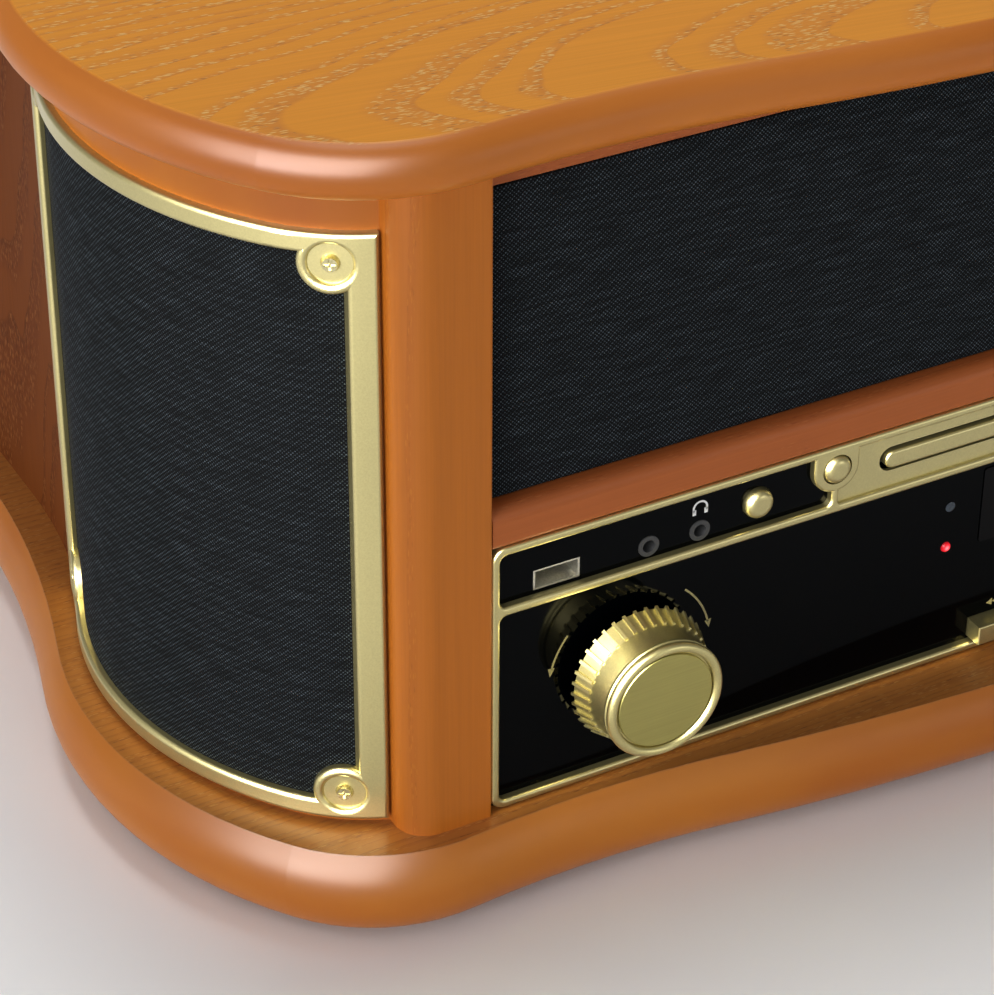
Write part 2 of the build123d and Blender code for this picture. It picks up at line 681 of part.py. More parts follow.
def round_button(name, x, z, radius, face):
    """Domed push button with a flange behind the fascia."""
    with BuildPart() as piece:
        with BuildSketch(front_plane(STEM_END, x, z)):
            Circle(radius)
        extrude(amount=STEM_END - face)
        fillet(piece.faces().sort_by(Axis.Y)[0].edges(), radius=DOME_ROUND)
        with BuildSketch(front_plane(FLANGE_Y, x, z)):
            Circle(radius + 1.2)
        extrude(amount=-1.2)
    save(piece, name)


def key(name, x):
    """Rectangular key that stands well out of the fascia."""
    with BuildPart() as piece:
        with BuildSketch(front_plane(STEM_END, x, KEY_Z)):
            Rectangle(KEY_W, KEY_H)
        extrude(amount=STEM_END - KEY_FACE)
        fillet(piece.faces().sort_by(Axis.Y)[0].edges(), radius=0.4)
        with BuildSketch(front_plane(FLANGE_Y, x, KEY_Z)):
            Rectangle(KEY_W + 0.9, KEY_H + 2.4)
        extrude(amount=-1.2)
    save(piece, name)


round_button("function_button", -DOME_X, DOME_Z, DOME_R, -164.0)
round_button("band_button", DOME_X, DOME_Z, DOME_R, -164.0)
round_button("open_button", -ROUND_X, ROUND_Z, ROUND_R, -165.0)
round_button("standby_button", ROUND_X, ROUND_Z, ROUND_R, -165.0)
for number, name in enumerate(("key_back", "key_play", "key_stop", "key_forward")):
    key(name, (number - 1.5) * KEY_PITCH)

# Sockets behind the fascia ------------------------------------------------------------------------
with BuildPart() as usb_socket:
    with BuildSketch(front_plane(-146, USB_X, SOCKET_Z)):
        Rectangle(13.4, 6.0)
    extrude(amount=14.8)
    with BuildSketch(front_plane(-149, USB_X, SOCKET_Z)):
        Rectangle(12.2, 4.9)
    extrude(amount=20, mode=Mode.SUBTRACT)
    add(span_box((USB_X - 5.5, USB_X + 5.5), (-155.5, -149), (SOCKET_Z - 0.1, SOCKET_Z + 1.9)))
save(usb_socket, "usb_socket")

with BuildPart() as audio_jacks:
    for x in JACK_X:
        add(span_box((x - 5, x + 5), (-158.6, -146), (SOCKET_Z - 5, SOCKET_Z + 5)))
        with BuildSketch(front_plane(-158.6, x, SOCKET_Z)):
            Circle(3.0)
        extrude(amount=2.9)
        with BuildSketch(front_plane(-147, x, SOCKET_Z)):
            Circle(JACK_BORE_R)
        extrude(amount=20, mode=Mode.SUBTRACT)
save(audio_jacks, "audio_jacks")

# Disc drive ---------------------------------------------------------------------------------------
with BuildPart() as cd_tray:
    add(span_box((-TRAY_HALF, TRAY_HALF), TRAY_Y, TRAY_Z))
    with BuildSketch(Plane.XY.offset(TRAY_Z[1] - 2.2)):
        with Locations((0, DISC_Y)):
            Circle(DISC_R)
    extrude(amount=5, mode=Mode.SUBTRACT)
    with BuildSketch(Plane.XY.offset(TRAY_Z[1] - 3)):
        with Locations((0, DISC_Y)):
            Circle(40.5)
    extrude(amount=5, mode=Mode.SUBTRACT)
    with BuildSketch(Plane.XY.offset(TRAY_Z[0] - 1)):
        with Locations((0, DISC_Y)):
            Circle(22)
        add(low_rect(-22, DISC_Y, 22, TRAY_Y[1] + 5))
    extrude(amount=10, mode=Mode.SUBTRACT)
save(cd_tray, "cd_tray")

with BuildPart() as cd_tray_front:
    with BuildSketch(front_plane(TRAY_Y[0], 0, DISC_Z)):
        SlotOverall(132, 5.2)
    extrude(amount=3.6)
    fillet(cd_tray_front.faces().sort_by(Axis.Y)[0].edges(), radius=0.8)
save(cd_tray_front, "cd_tray_front")

LOADER_Y = (-145.0, -6.0)
LOADER_HALF = 69.0
CHANNEL = TRAY_HALF + 0.7
LEDGE_EDGE = 58.0
LOADER_Z = (80.0, 108.0)
EAR_X = (28.0, 31.0)
with BuildPart() as cd_loader:
    add(span_box((-LOADER_HALF, LOADER_HALF), LOADER_Y, (LOADER_Z[0], LOADER_Z[0] + 2)))
    add(span_box((-26, 26), (-128, -30), LOADER_Z), mode=Mode.SUBTRACT)
    add(span_box((-LOADER_HALF, LOADER_HALF), (-60, -30), (LOADER_Z[1] - 2, LOADER_Z[1])))
    for side in (-1, 1):
        low, high = sorted((side * CHANNEL, side * LOADER_HALF))
        add(span_box((low, high), LOADER_Y, LOADER_Z))
        low, high = sorted((side * LEDGE_EDGE, side * CHANNEL))
        add(span_box((low, high), LOADER_Y, (97, TRAY_Z[0] - GAP)))
        low, high = sorted((side * EAR_X[0], side * EAR_X[1]))
        add(span_box((low, high), (-24, -12), (LOADER_Z[0], 94)))
        for y in (-135, -16):
            with BuildSketch(Plane.XY.offset(BASE_Z[1])):
                with Locations((side * 62, y)):
                    Circle(4)
            extrude(amount=LOADER_Z[0] - BASE_Z[1])
    with BuildSketch(Plane.YZ.offset(-EAR_X[1] - 1)):
        with Locations(TRAVERSE_PIVOT):
            Circle(2 + RUN_FIT)
    extrude(amount=2 * EAR_X[1] + 2, mode=Mode.SUBTRACT)
save(cd_loader, "cd_loader")

MOTOR_BORE_R = 1.05
with BuildPart() as cd_traverse:
    add(span_box((-24, 24), (-124, -18), (88, 90)))
    with BuildSketch(Plane.YZ.offset(-EAR_X[1])):
        with Locations(TRAVERSE_PIVOT):
            Circle(2)
    extrude(amount=2 * EAR_X[1])
    for side in (-1, 1):
        low, high = sorted((side * 13.3, side * 15.3))
        add(span_box((low, high), (-80, -24), (90, 94)))
    with BuildSketch(Plane.XY.offset(90)):
        with Locations((0, DISC_Y)):
            Circle(9)
    extrude(amount=-8)
    with BuildSketch(Plane.XY.offset(84)):
        with Locations((0, DISC_Y)):
            Circle(MOTOR_BORE_R)
    extrude(amount=10, mode=Mode.SUBTRACT)
save(cd_traverse, "cd_traverse")

with BuildPart() as cd_spindle:
    for radius, low, high in ((1, 84.5, 99), (12.5, 98.4, 101.6), (7.3, 101.6, 104.4)):
        with BuildSketch(Plane.XY.offset(low)):
            with Locations((0, DISC_Y)):
                Circle(radius)
        extrude(amount=high - low)
    chamfer(cd_spindle.faces().sort_by(Axis.Z)[-1].edges(), length=1.5)
save(cd_spindle, "cd_spindle")

with BuildPart() as cd_laser_sled:
    add(span_box((-13, 13), (-78, -62), (90.3, 96)))
    with BuildSketch(Plane.XY.offset(96)):
        with Locations((0, -71)):
            Circle(3.2)
    extrude(amount=1.8)
save(cd_laser_sled, "cd_laser_sled")

# Turntable ----------------------------------------------------------------------------------------
BEARING_FLOOR = 168.0
PULLEY_AT = (PLATTER_XY[0] - PULLEY_REACH, PLATTER_XY[1])
SWITCH_AT = (184.0, -96.0)
with BuildPart() as turntable_deck:
    with BuildSketch(Plane.XY.offset(DECK_Z[0])):
        with BuildLine():
            inside_plan(WALL_T + 0.4, 163.6)
        make_face()
    extrude(amount=DECK_Z[1] - DECK_Z[0])
    with BuildSketch(Plane.XY.offset(BEARING_FLOOR - 2)):
        with Locations(PLATTER_XY):
            Circle(9)
    extrude(amount=DECK_Z[1] - BEARING_FLOOR + 2.4)
    with BuildSketch(Plane.XY.offset(BEARING_FLOOR)):
        with Locations(PLATTER_XY):
            Circle(SHAFT_R + RUN_FIT)
    extrude(amount=20, mode=Mode.SUBTRACT)
    with BuildSketch(Plane.XY.offset(DECK_Z[0] - 1)):
        with Locations(PULLEY_AT):
            Circle(8)
        with Locations(SWITCH_AT):
            Rectangle(3.6, 20)
    extrude(amount=10, mode=Mode.SUBTRACT)
save(turntable_deck, "turntable_deck")

MAT_Z = (192.0, 194.0)
PLATTER_PROFILE = [
    (0, BEARING_FLOOR + 0.5), (SHAFT_R, BEARING_FLOOR + 0.5), (SHAFT_R, 181.2), (12, 181.2), (12, 189),
    (SUB_RING_R - 4, 189), (SUB_RING_R - 4, 181.2), (SUB_RING_R, 181.2), (SUB_RING_R, 189),
    (PLATTER_R - 4, 189), (PLATTER_R - 4, 180.6), (PLATTER_R, 180.6), (PLATTER_R, MAT_Z[0]),
    (3.6, MAT_Z[0]), (3.6, 202.5), (2.4, 204), (0, 204),
]
with BuildPart() as platter:
    with BuildSketch(Plane.XZ.offset(-PLATTER_XY[1])):
        with BuildLine():
            Polyline(*[(PLATTER_XY[0] + r, z) for r, z in PLATTER_PROFILE], close=True)
        make_face()
    revolve(axis=Axis((PLATTER_XY[0], PLATTER_XY[1], 0), (0, 0, 1)))
save(platter, "platter")

with BuildPart() as platter_mat:
    with BuildSketch(Plane.XY.offset(MAT_Z[0])):
        with Locations(PLATTER_XY):
            Circle(PLATTER_R - 3)
            Circle(3.8, mode=Mode.SUBTRACT)
    extrude(amount=MAT_Z[1] - MAT_Z[0])
save(platter_mat, "platter_mat")

with BuildPart() as turntable_motor:
    with BuildSketch(Plane.XY.offset(150)):
        with Locations(PULLEY_AT):
            Circle(17)
    extrude(amount=DECK_Z[0] - 150)
    with BuildSketch(Plane.XY.offset(DECK_Z[0])):
        with Locations(PULLEY_AT):
            Circle(6)
    extrude(amount=3)
    with BuildSketch(Plane.XY.offset(168)):
        with Locations(PULLEY_AT):
            Circle(MOTOR_BORE_R)
    extrude(amount=20, mode=Mode.SUBTRACT)
save(turntable_motor, "turntable_motor")

FLANGE_R = 6.4
PULLEY_STEPS = [(1, 168.5, 182), (FLANGE_R, 180.6, 181.4), (PULLEY_R, 181.4, 186.6), (FLANGE_R, 186.6, 187.4)]
with BuildPart() as motor_pulley:
    for radius, low, high in PULLEY_STEPS:
        with BuildSketch(Plane.XY.offset(low)):
            with Locations(PULLEY_AT):
                Circle(radius)
        extrude(amount=high - low)
save(motor_pulley, "motor_pulley")

BELT_T = 0.8


def belt_loop(clearance):
    """Faces whose hull is the belt's loop round the platter's inner ring and the pulley."""
    with Locations(PLATTER_XY):
        Circle(SUB_RING_R + clearance)
    with Locations(PULLEY_AT):
        Circle(PULLEY_R + clearance)
    make_hull()


with BuildPart() as drive_belt:
    with BuildSketch(Plane.XY.offset(182.5)):
        belt_loop(GAP + BELT_T)
    extrude(amount=3)
    with BuildSketch(Plane.XY.offset(182.5)):
        belt_loop(GAP)
    extrude(amount=3, mode=Mode.SUBTRACT)
save(drive_belt, "drive_belt")

# Tonearm: base plate with the arm rest, yoke that swings on it, and the arm that tilts in the yoke ---
YOKE_R = 4.0
ARM_REST_Y = -40.0
REST_TOP = 198.6
CUE_PIVOT_Z = 189.0
CUE_X = (176.4, 179.4)
with BuildPart() as tonearm_base:
    with BuildSketch(Plane.XY.offset(DECK_Z[1])):
        with Locations(ARM_XY):
            Circle(21)
    extrude(amount=6)
    rest_y = (ARM_REST_Y - 4, ARM_REST_Y + 4)
    add(span_box((ARM_XY[0] - 9, ARM_XY[0] + 9), (rest_y[0] - 5, ARM_XY[1]), (DECK_Z[1], DECK_Z[1] + 3)))
    add(span_box((ARM_XY[0] - 5, ARM_XY[0] + 8), rest_y, (DECK_Z[1], REST_TOP)))
    add(span_box((ARM_XY[0] + 4.4, ARM_XY[0] + 8), rest_y, (REST_TOP, 206)))
    with BuildSketch(Plane.XY.offset(DECK_Z[1])):
        with Locations(ARM_XY):
            Circle(9)
    extrude(amount=15.5)
    with BuildSketch(Plane.XY.offset(DECK_Z[1] + 1)):
        with Locations(ARM_XY):
            Circle(YOKE_R + RUN_FIT)
    extrude(amount=20, mode=Mode.SUBTRACT)
    add(span_box((ARM_XY[0] + 12, CUE_X[0] - 0.4), (108, 116), (DECK_Z[1], 193)))
    with BuildSketch(Plane.YZ.offset(CUE_X[0] - 6)):
        with Locations((ARM_XY[1], CUE_PIVOT_Z)):
            Circle(1.5 + RUN_FIT)
    extrude(amount=8, mode=Mode.SUBTRACT)
save(tonearm_base, "tonearm_base")

with BuildPart() as tonearm_yoke:
    with BuildSketch(Plane.XY.offset(DECK_Z[1] + 1.5)):
        with Locations(ARM_XY):
            Circle(YOKE_R)
    extrude(amount=15)
    with BuildSketch(Plane.XY.offset(194.3)):
        with Locations(ARM_XY):
            Circle(13)
    extrude(amount=2.7)
    for side in (-1, 1):
        low, high = sorted((side * 8.6, side * 11.6))
        ear = span_box((ARM_XY[0] + low, ARM_XY[0] + high), (ARM_XY[1] - 4, ARM_XY[1] + 4), (196, 207))
        add(ear)
    with BuildSketch(Plane.YZ.offset(ARM_XY[0] - 15)):
        with Locations((ARM_XY[1], ARM_Z)):
            Circle(1.5 + RUN_FIT)
    extrude(amount=30, mode=Mode.SUBTRACT)
save(tonearm_yoke, "tonearm_yoke")

HEAD_Y = ARM_XY[1] - ARM_REACH
with BuildPart() as tonearm:
    add(span_box((ARM_XY[0] - 8, ARM_XY[0] + 8), (ARM_XY[1] - 8, ARM_XY[1] + 8), (198.5, 207.5)))
    with BuildSketch(Plane.YZ.offset(ARM_XY[0] - 11.6)):
        with Locations((ARM_XY[1], ARM_Z)):
            Circle(1.5)
    extrude(amount=23.2)
    with BuildSketch(Plane.XZ.offset(-HEAD_Y - 10)):
        with Locations((ARM_XY[0], ARM_Z)):
            Circle(4)
    extrude(amount=-(ARM_REACH + 10))
    with BuildSketch(Plane.XZ.offset(-ARM_XY[1] - 17)):
        with Locations((ARM_XY[0], ARM_Z)):
            Circle(9)
    extrude(amount=-20)
    add(span_box((ARM_XY[0] - 8, ARM_XY[0] + 8), (HEAD_Y - 10, HEAD_Y + 22), (200.4, 205.6)))
    add(span_box((ARM_XY[0] - 5, ARM_XY[0] + 5), (HEAD_Y - 5, HEAD_Y + 14), (196.8, 200.4)))
    add(span_box((ARM_XY[0] - 0.8, ARM_XY[0] + 0.8), (HEAD_Y - 1, HEAD_Y + 1), (195.6, 196.8)))
save(tonearm, "tonearm")

with BuildPart() as cue_lever:
    add(span_box(CUE_X, (ARM_XY[1] - 42, ARM_XY[1] + 4), (CUE_PIVOT_Z - 2.5, CUE_PIVOT_Z + 2.5)))
    grip_y = (ARM_XY[1] - 46, ARM_XY[1] - 36)
    add(span_box((CUE_X[0], CUE_X[1] + 4), grip_y, (CUE_PIVOT_Z - 2.5, CUE_PIVOT_Z + 4)))
    with BuildSketch(Plane.YZ.offset(CUE_X[0] - 5)):
        with Locations((ARM_XY[1], CUE_PIVOT_Z)):
            Circle(1.5)
    extrude(amount=6)
save(cue_lever, "cue_lever")

with BuildPart() as speed_switch:
    with BuildSketch(Plane.XY.offset(DECK_Z[1] + 0.3)):
        with Locations(SWITCH_AT):
            Rectangle(8, 9)
    extrude(amount=5, taper=8)
    with BuildSketch(Plane.XY.offset(DECK_Z[0] - 2)):
        with Locations(SWITCH_AT):
            Rectangle(3, 5)
    extrude(amount=8)
save(speed_switch, "speed_switch")

# Electronics --------------------------------------------------------------------------------------
BOARD_X, BOARD_Y, BOARD_Z = (-40.0, 150.0), (20.0, 130.0), 30.0
with BuildPart() as main_board:
    add(span_box(BOARD_X, BOARD_Y, (BOARD_Z, BOARD_Z + 1.6)))
    for x in (BOARD_X[0] + 6, BOARD_X[1] - 6):
        for y in (BOARD_Y[0] + 6, BOARD_Y[1] - 6):
            with BuildSketch(Plane.XY.offset(BASE_Z[1])):
                with Locations((x, y)):
                    Circle(3.5)
            extrude(amount=BOARD_Z - BASE_Z[1])
    for x in (0, 22, 44):
        with BuildSketch(Plane.XY.offset(BOARD_Z + 1.6)):
            with Locations((x, 105)):
                Circle(8)
        extrude(amount=25)
    add(span_box((80, 130), (100, 104), (BOARD_Z + 1.6, 62)))
    for fin in range(9):
        x = 82 + 5.5 * fin
        add(span_box((x, x + 1.8), (104, 118), (BOARD_Z + 1.6, 62)))
    add(span_box((20, 44), (50, 66), (BOARD_Z + 1.6, BOARD_Z + 4)))
save(main_board, "main_board")

with BuildPart() as power_transformer:
    add(span_box((-178, -118), (84, 126), (BASE_Z[1], BASE_Z[1] + 50)))
    add(span_box((-166, -130), (72, 138), (BASE_Z[1] + 9, BASE_Z[1] + 41)))
    add(span_box((-190, -106), (94, 116), (BASE_Z[1], BASE_Z[1] + 2)))
save(power_transformer, "power_transformer")

with BuildPart() as mains_inlet:
    add(span_box((INLET_X - 13, INLET_X + 13), (150, WALL_BACK + 1), (INLET_Z - 8, INLET_Z + 8)))
    with BuildSketch(front_plane(156, INLET_X, INLET_Z)):
        SlotOverall(15, 9)
    extrude(amount=-20, mode=Mode.SUBTRACT)
    for side in (-1, 1):
        with BuildSketch(front_plane(155, INLET_X + side * 5, INLET_Z)):
            Circle(1.2)
        extrude(amount=-8)
save(mains_inlet, "mains_inlet")

with BuildPart() as line_out_sockets:
    add(span_box((LINE_X - 20, LINE_X + 20), (152, WALL_BACK), (LINE_Z - 8, LINE_Z + 8)))
    for side in (-1, 1):
        with BuildSketch(front_plane(WALL_BACK, LINE_X + side * 9, LINE_Z)):
            Circle(4.15)
        extrude(amount=-7.5)
        with BuildSketch(front_plane(164, LINE_X + side * 9, LINE_Z)):
            Circle(1.65)
        extrude(amount=-20, mode=Mode.SUBTRACT)
save(line_out_sockets, "line_out_sockets")
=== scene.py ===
# %% [markdown]
# # Dressing a stereo music centre
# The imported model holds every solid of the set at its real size: cabinet, lid, speakers, control
# panel, disc drive and turntable. This lesson gives each of them the finish of the real thing, and
# builds new meshes where the looks need a shape of their own: the marks printed on the panel and the
# raised rings on the rubber mat. Everything is in metres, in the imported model's own frame.

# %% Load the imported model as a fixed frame
import math
import bmesh
import bpy
from mathutils import Matrix, Vector


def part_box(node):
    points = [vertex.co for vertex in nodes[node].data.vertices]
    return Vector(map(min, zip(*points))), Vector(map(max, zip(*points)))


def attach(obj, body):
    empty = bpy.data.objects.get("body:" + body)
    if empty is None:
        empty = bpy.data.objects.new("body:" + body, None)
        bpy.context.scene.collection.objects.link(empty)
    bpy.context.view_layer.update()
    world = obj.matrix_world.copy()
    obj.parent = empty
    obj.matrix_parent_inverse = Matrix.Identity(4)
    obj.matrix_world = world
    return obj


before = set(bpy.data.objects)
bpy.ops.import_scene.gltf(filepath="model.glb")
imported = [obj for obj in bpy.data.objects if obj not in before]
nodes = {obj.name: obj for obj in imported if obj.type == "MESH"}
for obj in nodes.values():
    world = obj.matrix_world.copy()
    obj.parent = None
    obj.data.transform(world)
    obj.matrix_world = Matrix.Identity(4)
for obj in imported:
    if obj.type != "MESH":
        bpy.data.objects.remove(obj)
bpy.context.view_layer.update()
MM = 0.001

# %% [markdown]
# A finish is a tree of shader nodes. One small function adds a node, sets it up and joins it to the
# nodes before it, so that each material below reads as a list of what it is made of. Four shorter
# ones name what comes up most: a sum, a mixed colour, a stretched coordinate and a noise. Colours are
# written as the hex values a painter would note down, and one function turns them to linear light.

# %% Helpers for materials
def linear(code):
    """Linear RGBA of an sRGB hex colour."""
    channels = [int(code[i:i + 2], 16) / 255 for i in (1, 3, 5)]
    return [c / 12.92 if c <= 0.04045 else ((c + 0.055) / 1.055) ** 2.4 for c in channels] + [1.0]


def add(tree, kind, inputs=None, stops=None, **settings):
    """Add a node. Inputs are values or sockets, stops are a ramp's places and hex colours."""
    node = tree.nodes.new("ShaderNode" + kind)
    for name, value in settings.items():
        setattr(node, name, value)
    for key, value in (inputs or {}).items():
        if isinstance(value, bpy.types.NodeSocket):
            tree.links.new(value, node.inputs[key])
        else:
            node.inputs[key].default_value = value
    for place, code in (stops or [])[2:]:
        node.color_ramp.elements.new(place)
    for element, (place, code) in zip(node.color_ramp.elements if stops else [], stops or []):
        element.position = place
        element.color = linear(code)
    return node


def calc(tree, operation, *values):
    """Result of a sum on values or sockets."""
    return add(tree, "Math", dict(enumerate(values)), operation=operation).outputs[0]


def mixed(tree, amount, first, second):
    """Colour between two, from the first at 0 to the second at 1."""
    return add(tree, "Mix", {0: amount, 6: first, 7: second}, data_type="RGBA").outputs[2]


def scaled(tree, place, scale):
    """Coordinate that runs a number of times faster along each axis."""
    return add(tree, "Mapping", {"Vector": place, "Scale": scale}).outputs[0]


def noise(tree, place, detail, roughness=0.5, scale=1.0):
    """Value of a noise at a coordinate, about 0.5."""
    inputs = {"Vector": place, "Scale": scale, "Detail": detail, "Roughness": roughness}
    return add(tree, "TexNoise", inputs).outputs[0]


def new_material(name):
    """An empty material with its output, and the tree to fill."""
    material = bpy.data.materials.new(name)
    material.use_nodes = True
    material.node_tree.nodes.clear()
    return material, material.node_tree


def finish_material(tree, colour, bump=None, **sockets):
    """End a tree in the shader. A colour is a hex code or a socket, and constants sit on the shader."""
    inputs = {key.replace("_", " "): value for key, value in sockets.items()}
    inputs["Base Color"] = linear(colour) if isinstance(colour, str) else colour
    if bump:
        inputs["Normal"] = bump.outputs[0]
    shader = add(tree, "BsdfPrincipled", inputs)
    add(tree, "OutputMaterial", {"Surface": shader.outputs[0]})
    return shader

# %% [markdown]
# The camera stands to the left of the set and looks down on its speaker corner. It is a long lens,
# so the edges of the cabinet stay nearly parallel.

# %% Camera
SENSOR = 36.0
LENS = 121.9
CAMERA_AT = (-0.50826, -0.7600, 0.57875)
CAMERA_TURN = (math.radians(56.43), math.radians(-0.2), math.radians(-28.58))

lens = bpy.data.cameras.new("camera")
lens.lens = LENS
lens.sensor_width = SENSOR
lens.clip_start = 0.05
lens.clip_end = 30
camera = bpy.data.objects.new("camera", lens)
camera.location = CAMERA_AT
camera.rotation_euler = CAMERA_TURN
bpy.context.collection.objects.link(camera)
bpy.context.scene.camera = camera
bpy.context.scene.view_settings.view_transform = "Standard"
print("camera", [round(v, 3) for v in camera.location])

# %% [markdown]
# The set stands on a pale floor in a plain studio. One softbox hangs overhead and a little behind,
# so that the polished panel doesn't mirror it. Two weak ones stand low, to the left and in front on
# the right. The tall one to the left only makes reflections: it runs round the rolled edges of the
# slabs and lights the gold.

# %% Floor, world and lamps
def softbox(name, place, target, size, power, **visibility):
    """A rectangular area lamp, width by height in metres, that faces its target. Power is in watts."""
    lamp = bpy.data.lights.new(name, "AREA")
    lamp.shape = "RECTANGLE"
    lamp.size, lamp.size_y = size
    lamp.energy = power
    box = bpy.data.objects.new(name, lamp)
    box.location = place
    box.rotation_euler = (Vector(target) - Vector(place)).to_track_quat("-Z", "Y").to_euler()
    box.visible_camera = False
    for ray, shown in visibility.items():
        setattr(box, "visible_" + ray, shown)
    bpy.context.collection.objects.link(box)
    return box


FLOOR_HALF = 4.0
floor_mesh = bpy.data.meshes.new("floor")
floor_mesh.from_pydata([(x, y, 0) for x, y in ((-FLOOR_HALF, -FLOOR_HALF), (FLOOR_HALF, -FLOOR_HALF),
                                               (FLOOR_HALF, FLOOR_HALF), (-FLOOR_HALF, FLOOR_HALF))],
                       [], [(0, 1, 2, 3)])
floor = bpy.data.objects.new("floor", floor_mesh)
bpy.context.collection.objects.link(floor)
floor_paint, tree = new_material("pale_painted_floor")
finish_material(tree, "#FAFAFB", Roughness=0.9, Specular_IOR_Level=0.0)
floor_mesh.materials.append(floor_paint)

world = bpy.data.worlds.new("studio")
bpy.context.scene.world = world
world.use_nodes = True
tree = world.node_tree
tree.nodes.clear()
walls = add(tree, "Background", {"Color": linear("#F4F4F6"), "Strength": 0.30})
add(tree, "OutputWorld", {"Surface": walls.outputs[0]})

# Each lamp: name, place, target, width and height in metres, power in watts.
MIDDLE = (0, 0, 0.12)
softbox("overhead", (0.1, 0.6, 3.0), MIDDLE, (1.5, 1.5), 52)
softbox("front_right", (0.9, -1.7, 0.36), MIDDLE, (0.8, 0.8), 4)
softbox("left_low", (-1.8, -0.8, 0.42), MIDDLE, (0.8, 0.8), 15)
softbox("left_wide", (-1.33, -0.96, 0.86), (-0.2, -0.1, 0.12), (1.9, 1.7), 270, diffuse=False)

# %% [markdown]
# Oak veneer shows the growth rings of a trunk cut lengthwise. The trunk's heart runs almost along
# the board, so every ring meets the surface in a long arch. Each ring starts with a band of open
# pores, which are short strokes along the grain, and ends in smooth dense wood. The tree below does
# the same: it measures the distance from a slightly tilted heart line, cuts it into rings, and
# strews strokes where a ring is young.

# %% Oak veneer, crown cut, stained and lacquered
PORE_L = 2.6 * MM
PORE_W = 0.44 * MM
PORE_RARITY = 0.56
CLUMP_SCALE = (70, 190, 190)
CLUMP_AMOUNT = 0.9
FIBRE_L = 60 * MM
FIBRE_W = 0.9 * MM
SWAY_SCALE = (6, 16, 16)
SWAY = (0, 14 * MM, 10 * MM)
WEATHER_PER_YEAR = 0.7
WEATHER_AMOUNT = 1.3
EDGE_AMOUNT = 0.45
RELIEF = 0.05 * MM


def year_rings(tree, grain, tilt, ring):
    """Age of the wood within its ring, 0 to 1. The grain runs along X, with the heart at the origin."""
    sway = add(tree, "TexNoise", {"Vector": scaled(tree, grain, SWAY_SCALE), "Scale": 1.0, "Detail": 3.0})
    middle = (0.5, 0.5, 0.5)
    offset = add(tree, "VectorMath", {0: sway.outputs["Color"], 1: middle}, operation="SUBTRACT")
    shift = add(tree, "VectorMath", {0: offset.outputs[0], 1: SWAY}, operation="MULTIPLY")
    swayed = add(tree, "VectorMath", {0: grain, 1: shift.outputs[0]})
    along, across, deep = add(tree, "SeparateXYZ", {0: swayed.outputs[0]}).outputs
    depth = calc(tree, "MULTIPLY_ADD", along, tilt, deep)
    square = calc(tree, "MULTIPLY_ADD", depth, depth, calc(tree, "MULTIPLY", across, across))
    years = calc(tree, "DIVIDE", calc(tree, "SQRT", square), ring)
    weather = add(tree, "TexNoise", {"W": years, "Scale": WEATHER_PER_YEAR, "Detail": 1.0},
                  noise_dimensions="1D")
    return calc(tree, "FRACT", calc(tree, "MULTIPLY_ADD", weather.outputs[0], WEATHER_AMOUNT, years))


def open_pores(tree, grain, young):
    """Mask of the pores, strewn in clumps where the wood is young, and a random number for each."""
    cells = scaled(tree, grain, (1 / PORE_L, 1 / PORE_W, 1 / PORE_W))
    pore = add(tree, "TexVoronoi", {"Vector": cells, "Scale": 1.0, "Randomness": 1.0})
    slit = add(tree, "ValToRGB", {0: pore.outputs["Distance"]},
               stops=[(0.28, "#FFFFFF"), (0.46, "#000000")])
    luck = add(tree, "SeparateXYZ", {0: pore.outputs["Color"]})
    clump = noise(tree, scaled(tree, grain, CLUMP_SCALE), 1.0)
    crowd = calc(tree, "MULTIPLY_ADD", clump, CLUMP_AMOUNT, luck.outputs[0])
    chance = calc(tree, "MULTIPLY_ADD", crowd, young, -PORE_RARITY)
    chosen = add(tree, "MapRange", {0: chance, 1: -0.04, 2: 0.06})
    return calc(tree, "MULTIPLY", slit.outputs[0], chosen.outputs[0]), luck.outputs[1]


def veneer_colour(tree, place, colours, heart, turn, tilt, ring):
    """Colour and relief of crown-cut oak. Colours: dense wood, pore band, edge, stroke, dark stroke."""
    dense, band, edge, stroke, dark_stroke = [linear(code) for code in colours]
    grain = add(tree, "Mapping", {"Vector": place, "Location": heart, "Rotation": turn},
                vector_type="TEXTURE").outputs[0]
    age = year_rings(tree, grain, tilt, ring)
    young = add(tree, "ValToRGB", {0: age},
                stops=[(0.0, "#FFFFFF"), (0.26, "#E8E8E8"), (0.44, "#303030"), (0.62, "#000000"),
                       (0.95, "#000000"), (1.0, "#FFFFFF")]).outputs[0]
    start = add(tree, "ValToRGB", {0: age},
                stops=[(0.0, "#FFFFFF"), (0.12, "#000000"), (0.94, "#000000"),
                       (1.0, "#FFFFFF")]).outputs[0]
    pores, pore_luck = open_pores(tree, grain, young)
    fibre = noise(tree, scaled(tree, grain, (1 / FIBRE_L, 1 / FIBRE_W, 1 / FIBRE_W)), 4.0, 0.6)
    edged = mixed(tree, calc(tree, "MULTIPLY", start, EDGE_AMOUNT), mixed(tree, young, dense, band), edge)
    pale = add(tree, "MapRange", {0: pore_luck, 1: 0.18, 2: 0.30}).outputs[0]
    marked = mixed(tree, pores, edged, mixed(tree, pale, dark_stroke, stroke))
    streak = add(tree, "MapRange", {0: fibre, 1: 0.3, 2: 0.7, 3: 0.94, 4: 1.05})
    colour = add(tree, "VectorMath", {0: marked, 3: streak.outputs[0]}, operation="SCALE")
    return colour.outputs[0], calc(tree, "MULTIPLY_ADD", pores, -1.0, fibre)

